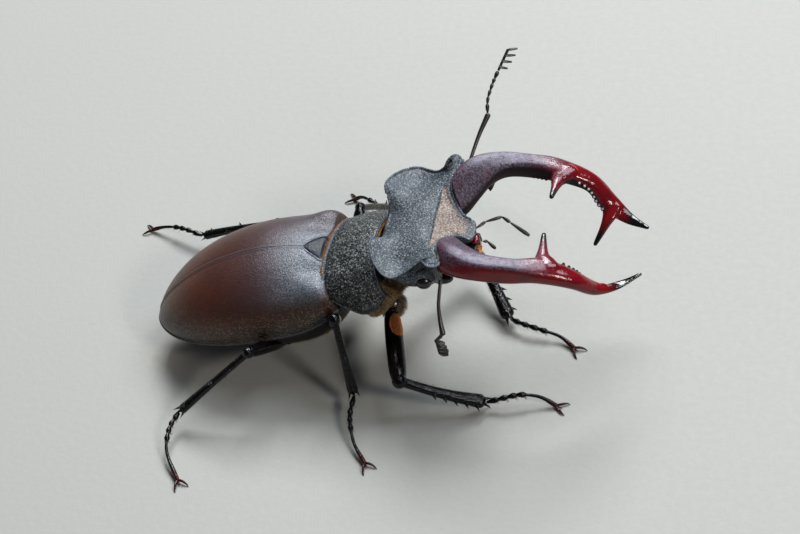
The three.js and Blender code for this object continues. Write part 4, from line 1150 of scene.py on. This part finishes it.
def hairs(roots, ways, lengths, radius, droop, patch):
    """Tapering three-sided hairs. patch is each root's place on an unwrap of the skin it grows on."""
    count = len(roots)
    ways = unit(ways)
    aside = unit(cross(ways, [0.31, 0.52, 0.79]))
    third = cross(ways, aside)
    levels = [(s, a, thin) for s, thin in ((0, 1), (0.4, 0.85), (0.78, 0.5)) for a in angles(3)] + [(1, 0, 0)]
    points, uv = [], []
    for s, a, thin in levels:
        centre = roots + ways * (lengths * s)[:, None] + droop * (lengths * s * s)[:, None]
        points.append(centre + (aside * cos(a) + third * sin(a)) * radius * thin)
        uv.append(patch + array([cos(a), sin(a)]) * HAIR_PATCH * (1 - s))
    one = [(0, 2, 1)]
    for a, b in ((0, 1), (1, 2), (2, 0), (3, 4), (4, 5), (5, 3)):
        one += [(a, b, b + 3), (a, b + 3, a + 3)]
    one = array(one + [(6, 7, 9), (7, 8, 9), (8, 6, 9)])
    tris = (one + len(levels) * np.arange(count)[:, None, None]).reshape(-1, 3)
    shares = np.tile([s for s, _, _ in levels], count)
    return (stack(points, 1).reshape(-1, 3), tris), stack(uv, 1).reshape(-1, 2), shares


def coat(name, group, look, roots, ways, lengths, radius, patch, droop=-0.3):
    """Hairs as one piece. Where lengths are a range (shortest, longest), each hair's own is drawn."""
    if isinstance(lengths, tuple):
        lengths = mix(*lengths, rng.random(len(roots)))
    shape, uv, shares = hairs(roots, ways, lengths, radius, array([0, 0, droop]), patch)
    piece(name, shape, group, look, uv=uv, along=shares)


def spread(ways, amount):
    return ways + rng.normal(0, amount, ways.shape)


def pronotum_fringe(name, x, forward, count, length, reach):
    k, u = rng.random((2, count))
    k = mix(-reach, reach, k)
    roots = pronotum_dome(np.full(count, x), k[:, None])[:, 0] - (0, 0, 0.1)
    out = unit(roots * (0, 1, 1))
    ways = spread((forward, 0, 0) + out * mix(-0.25, 0.25, u)[:, None], 0.16)
    patch = column_stack([(k + 1) / 2 * 0.96 + 0.02, 0.3 + 0.4 * u])
    coat(name, FORE, GOLD, roots, ways, (0.6 * length, length), 0.022, patch, -0.15)


def wool(name, rings, group, count, span, around, length, radius=0.024):
    """Hair over part of a trunk: span is shares of its length, around is shares round it (0.5 is below)."""
    rows, cols = rings.shape[:2]
    u, v, side = rng.random((3, count))
    u, v = mix(*span, u), mix(*around, v)
    v = where(side < 0.5, v, 1 - v)
    i, j = u * (rows - 1.001), v * (cols - 1.001)
    a, b = i.astype(int), j.astype(int)
    fi, fj = (i - a)[:, None], (j - b)[:, None]
    roots = mix(mix(rings[a, b], rings[a + 1, b], fi), mix(rings[a, b + 1], rings[a + 1, b + 1], fi), fj)
    out = unit(roots - rings.mean(1)[a])
    ways = spread(out + (-0.55, 0, -0.35), 0.28)
    patch = column_stack([0.01 + 0.98 * u, 0.01 + 0.98 * v])
    coat(name, group, WOOL, roots - out * 0.05, ways, (0.5 * length, length), radius, patch)


def front_wool(count):
    """Hair on the prothorax's front face, between its margin and the neck."""
    ring = prothorax_rings()[-1]
    u, v = rng.random((2, count))
    at = mix(0.2, 0.8, v) * len(ring)
    i = at.astype(int)
    rim = mix(ring[i], ring[(i + 1) % len(ring)], (at - i)[:, None])
    middle = ring.mean(0)
    share = np.sqrt(mix(0.4, 1.0, u))[:, None]
    ways = spread((0.7, 0, -0.2) + unit(rim - middle) * 0.8, 0.25)
    patch = 0.5 + 0.48 * share * column_stack([cos(2 * pi * v), sin(2 * pi * v)])
    coat("wool_front", FORE, WOOL, mix(middle, rim, share), ways, (0.4, 0.8), 0.028, patch)


def coxa_wool(name, count):
    """Hair on a fore coxa, facing forwards and down."""
    points = coxa(LEGS[name], SIZES["fore"][0])[0][:-2]
    rows = len(points) // COXA_SIDES
    middle = points.reshape(rows, COXA_SIDES, 3).mean(1)
    pick = rng.integers(0, rows * COXA_SIDES, count)
    row, column = pick // COXA_SIDES, pick % COXA_SIDES
    out = unit(points[pick] - middle[row])
    roots = spread(points[pick], 0.05) - out * 0.05
    ways = spread(out + (0.3, 0.2 * sign(roots[:, 1].mean()), -0.5), 0.25)
    patch = column_stack([row / rows, column / COXA_SIDES]) * 0.98 + 0.01
    coat("wool_" + name, FLOOR, WOOL, roots, ways, (0.3, 0.6), 0.026, patch)


def mouth_brush(count):
    u, v = rng.random((2, count))
    roots = column_stack([10.7 + 1.4 * u, mix(-1.7, 0.1, v), mix(-2.2, -2.5, u)])
    ways = spread(np.tile((1.0, -0.2, -0.1), (count, 1)), 0.16)
    patch = column_stack([0.05 + 0.9 * v, 0.05 + 0.9 * u])
    coat("brush_mouth", HEAD, ORANGE, roots, ways, (0.52, 1.82), 0.02, patch)


def femur_pad(name, count):
    """Oval pad of short orange hair on the front face of a fore femur, near its root."""
    start, knee = femur_start(LEGS[name]), LEGS[name][1]
    way = unit(knee - start)
    level = unit(cross(UP, way))
    forward, upright = level * sign(level[0]), cross(way, level)
    radius, angle = np.sqrt(rng.random(count)), rng.random(count) * 2 * pi
    disc = radius[:, None] * column_stack([cos(angle), sin(angle)])
    s, a = 0.2 + 0.18 * disc[:, 0], np.radians(52) + 0.9 * disc[:, 1]
    place, wide, high = array(FEMUR["fore"]).T
    wide, high = (np.interp(s, place, half) * SIZES["fore"][1] for half in (wide, high))
    ahead, above = np.outer(cos(a), forward), np.outer(sin(a), upright)
    roots = mix(start, knee, s[:, None]) + ahead * wide[:, None] + above * high[:, None]
    out = ahead + above
    ways = spread(out * 0.6 + way * 0.8, 0.12)
    coat("pad_" + name, FLOOR, ORANGE, roots - out * 0.03, ways, (0.25, 0.4), 0.02, 0.5 + 0.45 * disc, 0)


def leg_setae():
    """Short bristles along the shins and under the feet."""
    rows = []
    strips = 2 * len(LEGS)  # of the texture map: the shins' come first, then the feet's
    for row, (name, leg) in enumerate(LEGS.items()):
        r_tibia, r_tarsus = SIZES[name.split("_")[0]][2:]
        start, end, outside, across = leg_frames[name]
        way = unit(end - start)
        for _ in range(90):
            s, a = rng.random(), rng.random() * 2 * pi
            out = outside * cos(a) + across * sin(a)
            root = mix(start, end, 0.1 + 0.85 * s) + out * r_tibia * 0.75
            patch = (row + 0.1 + 0.8 * s) / strips, 0.05 + 0.9 * a / (2 * pi)
            rows.append((*root, *(out * 0.7 + way), 0.35 + 0.3 * rng.random(), *patch))
        path = foot_path(leg)
        for cut in (0.14, 0.28, 0.41, 0.54):
            at, after = through(path, array([cut, cut + 0.03]))
            ahead = unit(after - at)
            for k in range(26):
                aside = cross(ahead, UP) * rng.normal(0, 0.5)
                root = at - (0, 0, r_tarsus * 0.6) + aside * r_tarsus
                patch = (row + 6.1 + 0.8 * cut) / strips, 0.05 + 0.9 * k / 26
                rows.append((*root, *(ahead * 0.7 + aside - (0, 0, 0.55)), 0.3 + 0.25 * rng.random(), *patch))
    rows = array(rows)
    roots, ways, lengths, patch = rows[:, :3], rows[:, 3:6], rows[:, 6], rows[:, 7:]
    keep = (roots[:, 2] + unit(ways)[:, 2] * lengths > 0.02) & (roots[:, 2] > 0.1)
    coat("setae_legs", FLOOR, WOOL, roots[keep], ways[keep], lengths[keep], 0.022, patch[keep], 0)


pronotum_fringe("fringe_rear", 0.12, -1, 3000, 0.95, 0.93)
pronotum_fringe("fringe_front", 8.75, 1, 900, 0.5, 0.45)
wool("wool_prothorax", prothorax_rings(), FORE, 3600, (0.55, 0.99), (0.26, 0.44), 0.5, 0.03)
wool("wool_neck", np.roll(neck_rings(), -NECK_SIDES // 4, 1), HEAD, 2600, (0.0, 0.5), (0.24, 0.44), 0.8)
front_wool(2600)
coxa_wool("fore_right", 2200)
coxa_wool("fore_left", 2200)
hind_x = linspace(-1.5, -12.5, 50)[:, None]
hind_rings = rings_under_wings(hind_x, thorax_depth(hind_x))
wool("wool_thorax", hind_rings, HIND, 1500, (0.0, 0.8), (0.32, 0.47), 0.4)
mouth_brush(420)
femur_pad("fore_right", 2400)
femur_pad("fore_left", 2400)
leg_setae()


# --- studio
def aimed(name, data, columns, at):
    """A lamp or camera at a place, with the columns of its rotation."""
    rows = [(*row, shift) for row, shift in zip(zip(*columns), at)]
    linked(name, data).matrix_world = Matrix(rows + [(0, 0, 0, 1)])


def studio():
    mesh = bpy.data.meshes.new("floor_sheet")
    reach = 3.0
    corners = [(-reach, -reach, 0), (reach, -reach, 0), (reach, reach, 0), (-reach, reach, 0)]
    mesh.from_pydata(corners, [], [(0, 1, 2, 3)])
    mesh.materials.append(floor_look().material)
    linked("floor_sheet", mesh)
    aim = (0, 0, 0.012)
    for name, at, size, power, tint in (
            ("key", (0.04, 0.46, 0.56), 0.3, 8.0, (0.92, 0.96, 1.0)),
            ("sky", (0.3, 0.14, 0.5), 0.3, 2.6, (0.8, 0.9, 1.0)),
            ("fill", (0.46, -0.32, 0.4), 0.1, 1.8, (1.0, 0.97, 0.93))):
        lamp = bpy.data.lights.new(name, "AREA")
        lamp.energy, lamp.size, lamp.color = power, size, tint
        back = unit(array(at) - aim)
        aside = unit(cross(UP, back))
        aimed(name, lamp, (aside, cross(back, aside), back), at)
    world = bpy.data.worlds.new("soft_room")
    world.use_nodes = True
    light = world.node_tree.nodes["Background"].inputs
    light["Color"].default_value, light["Strength"].default_value = (0.86, 0.92, 1.0, 1), 0.1
    bpy.context.scene.world = world


def camera():
    """The photograph's view, in the beetle's frame."""
    frame_width, focal_length, off_centre, sensor = 800, 2200, 49.6, 36  # pixels, and millimetres
    lens = bpy.data.cameras.new("camera")
    lens.sensor_width, lens.lens = sensor, focal_length / frame_width * sensor
    lens.shift_x = off_centre / frame_width
    lens.clip_start, lens.clip_end = 0.01, 20
    right, up, back = (0.9644, 0.1519, -0.2163), (0.0396, 0.7260, 0.6866), (0.2613, -0.6707, 0.6941)
    aimed("camera", lens, (right, up, back), (0.08345, -0.217835, 0.23953))
    bpy.context.scene.camera = bpy.data.objects["camera"]


studio()
camera()
bpy.context.scene.view_settings.view_transform = "Standard"
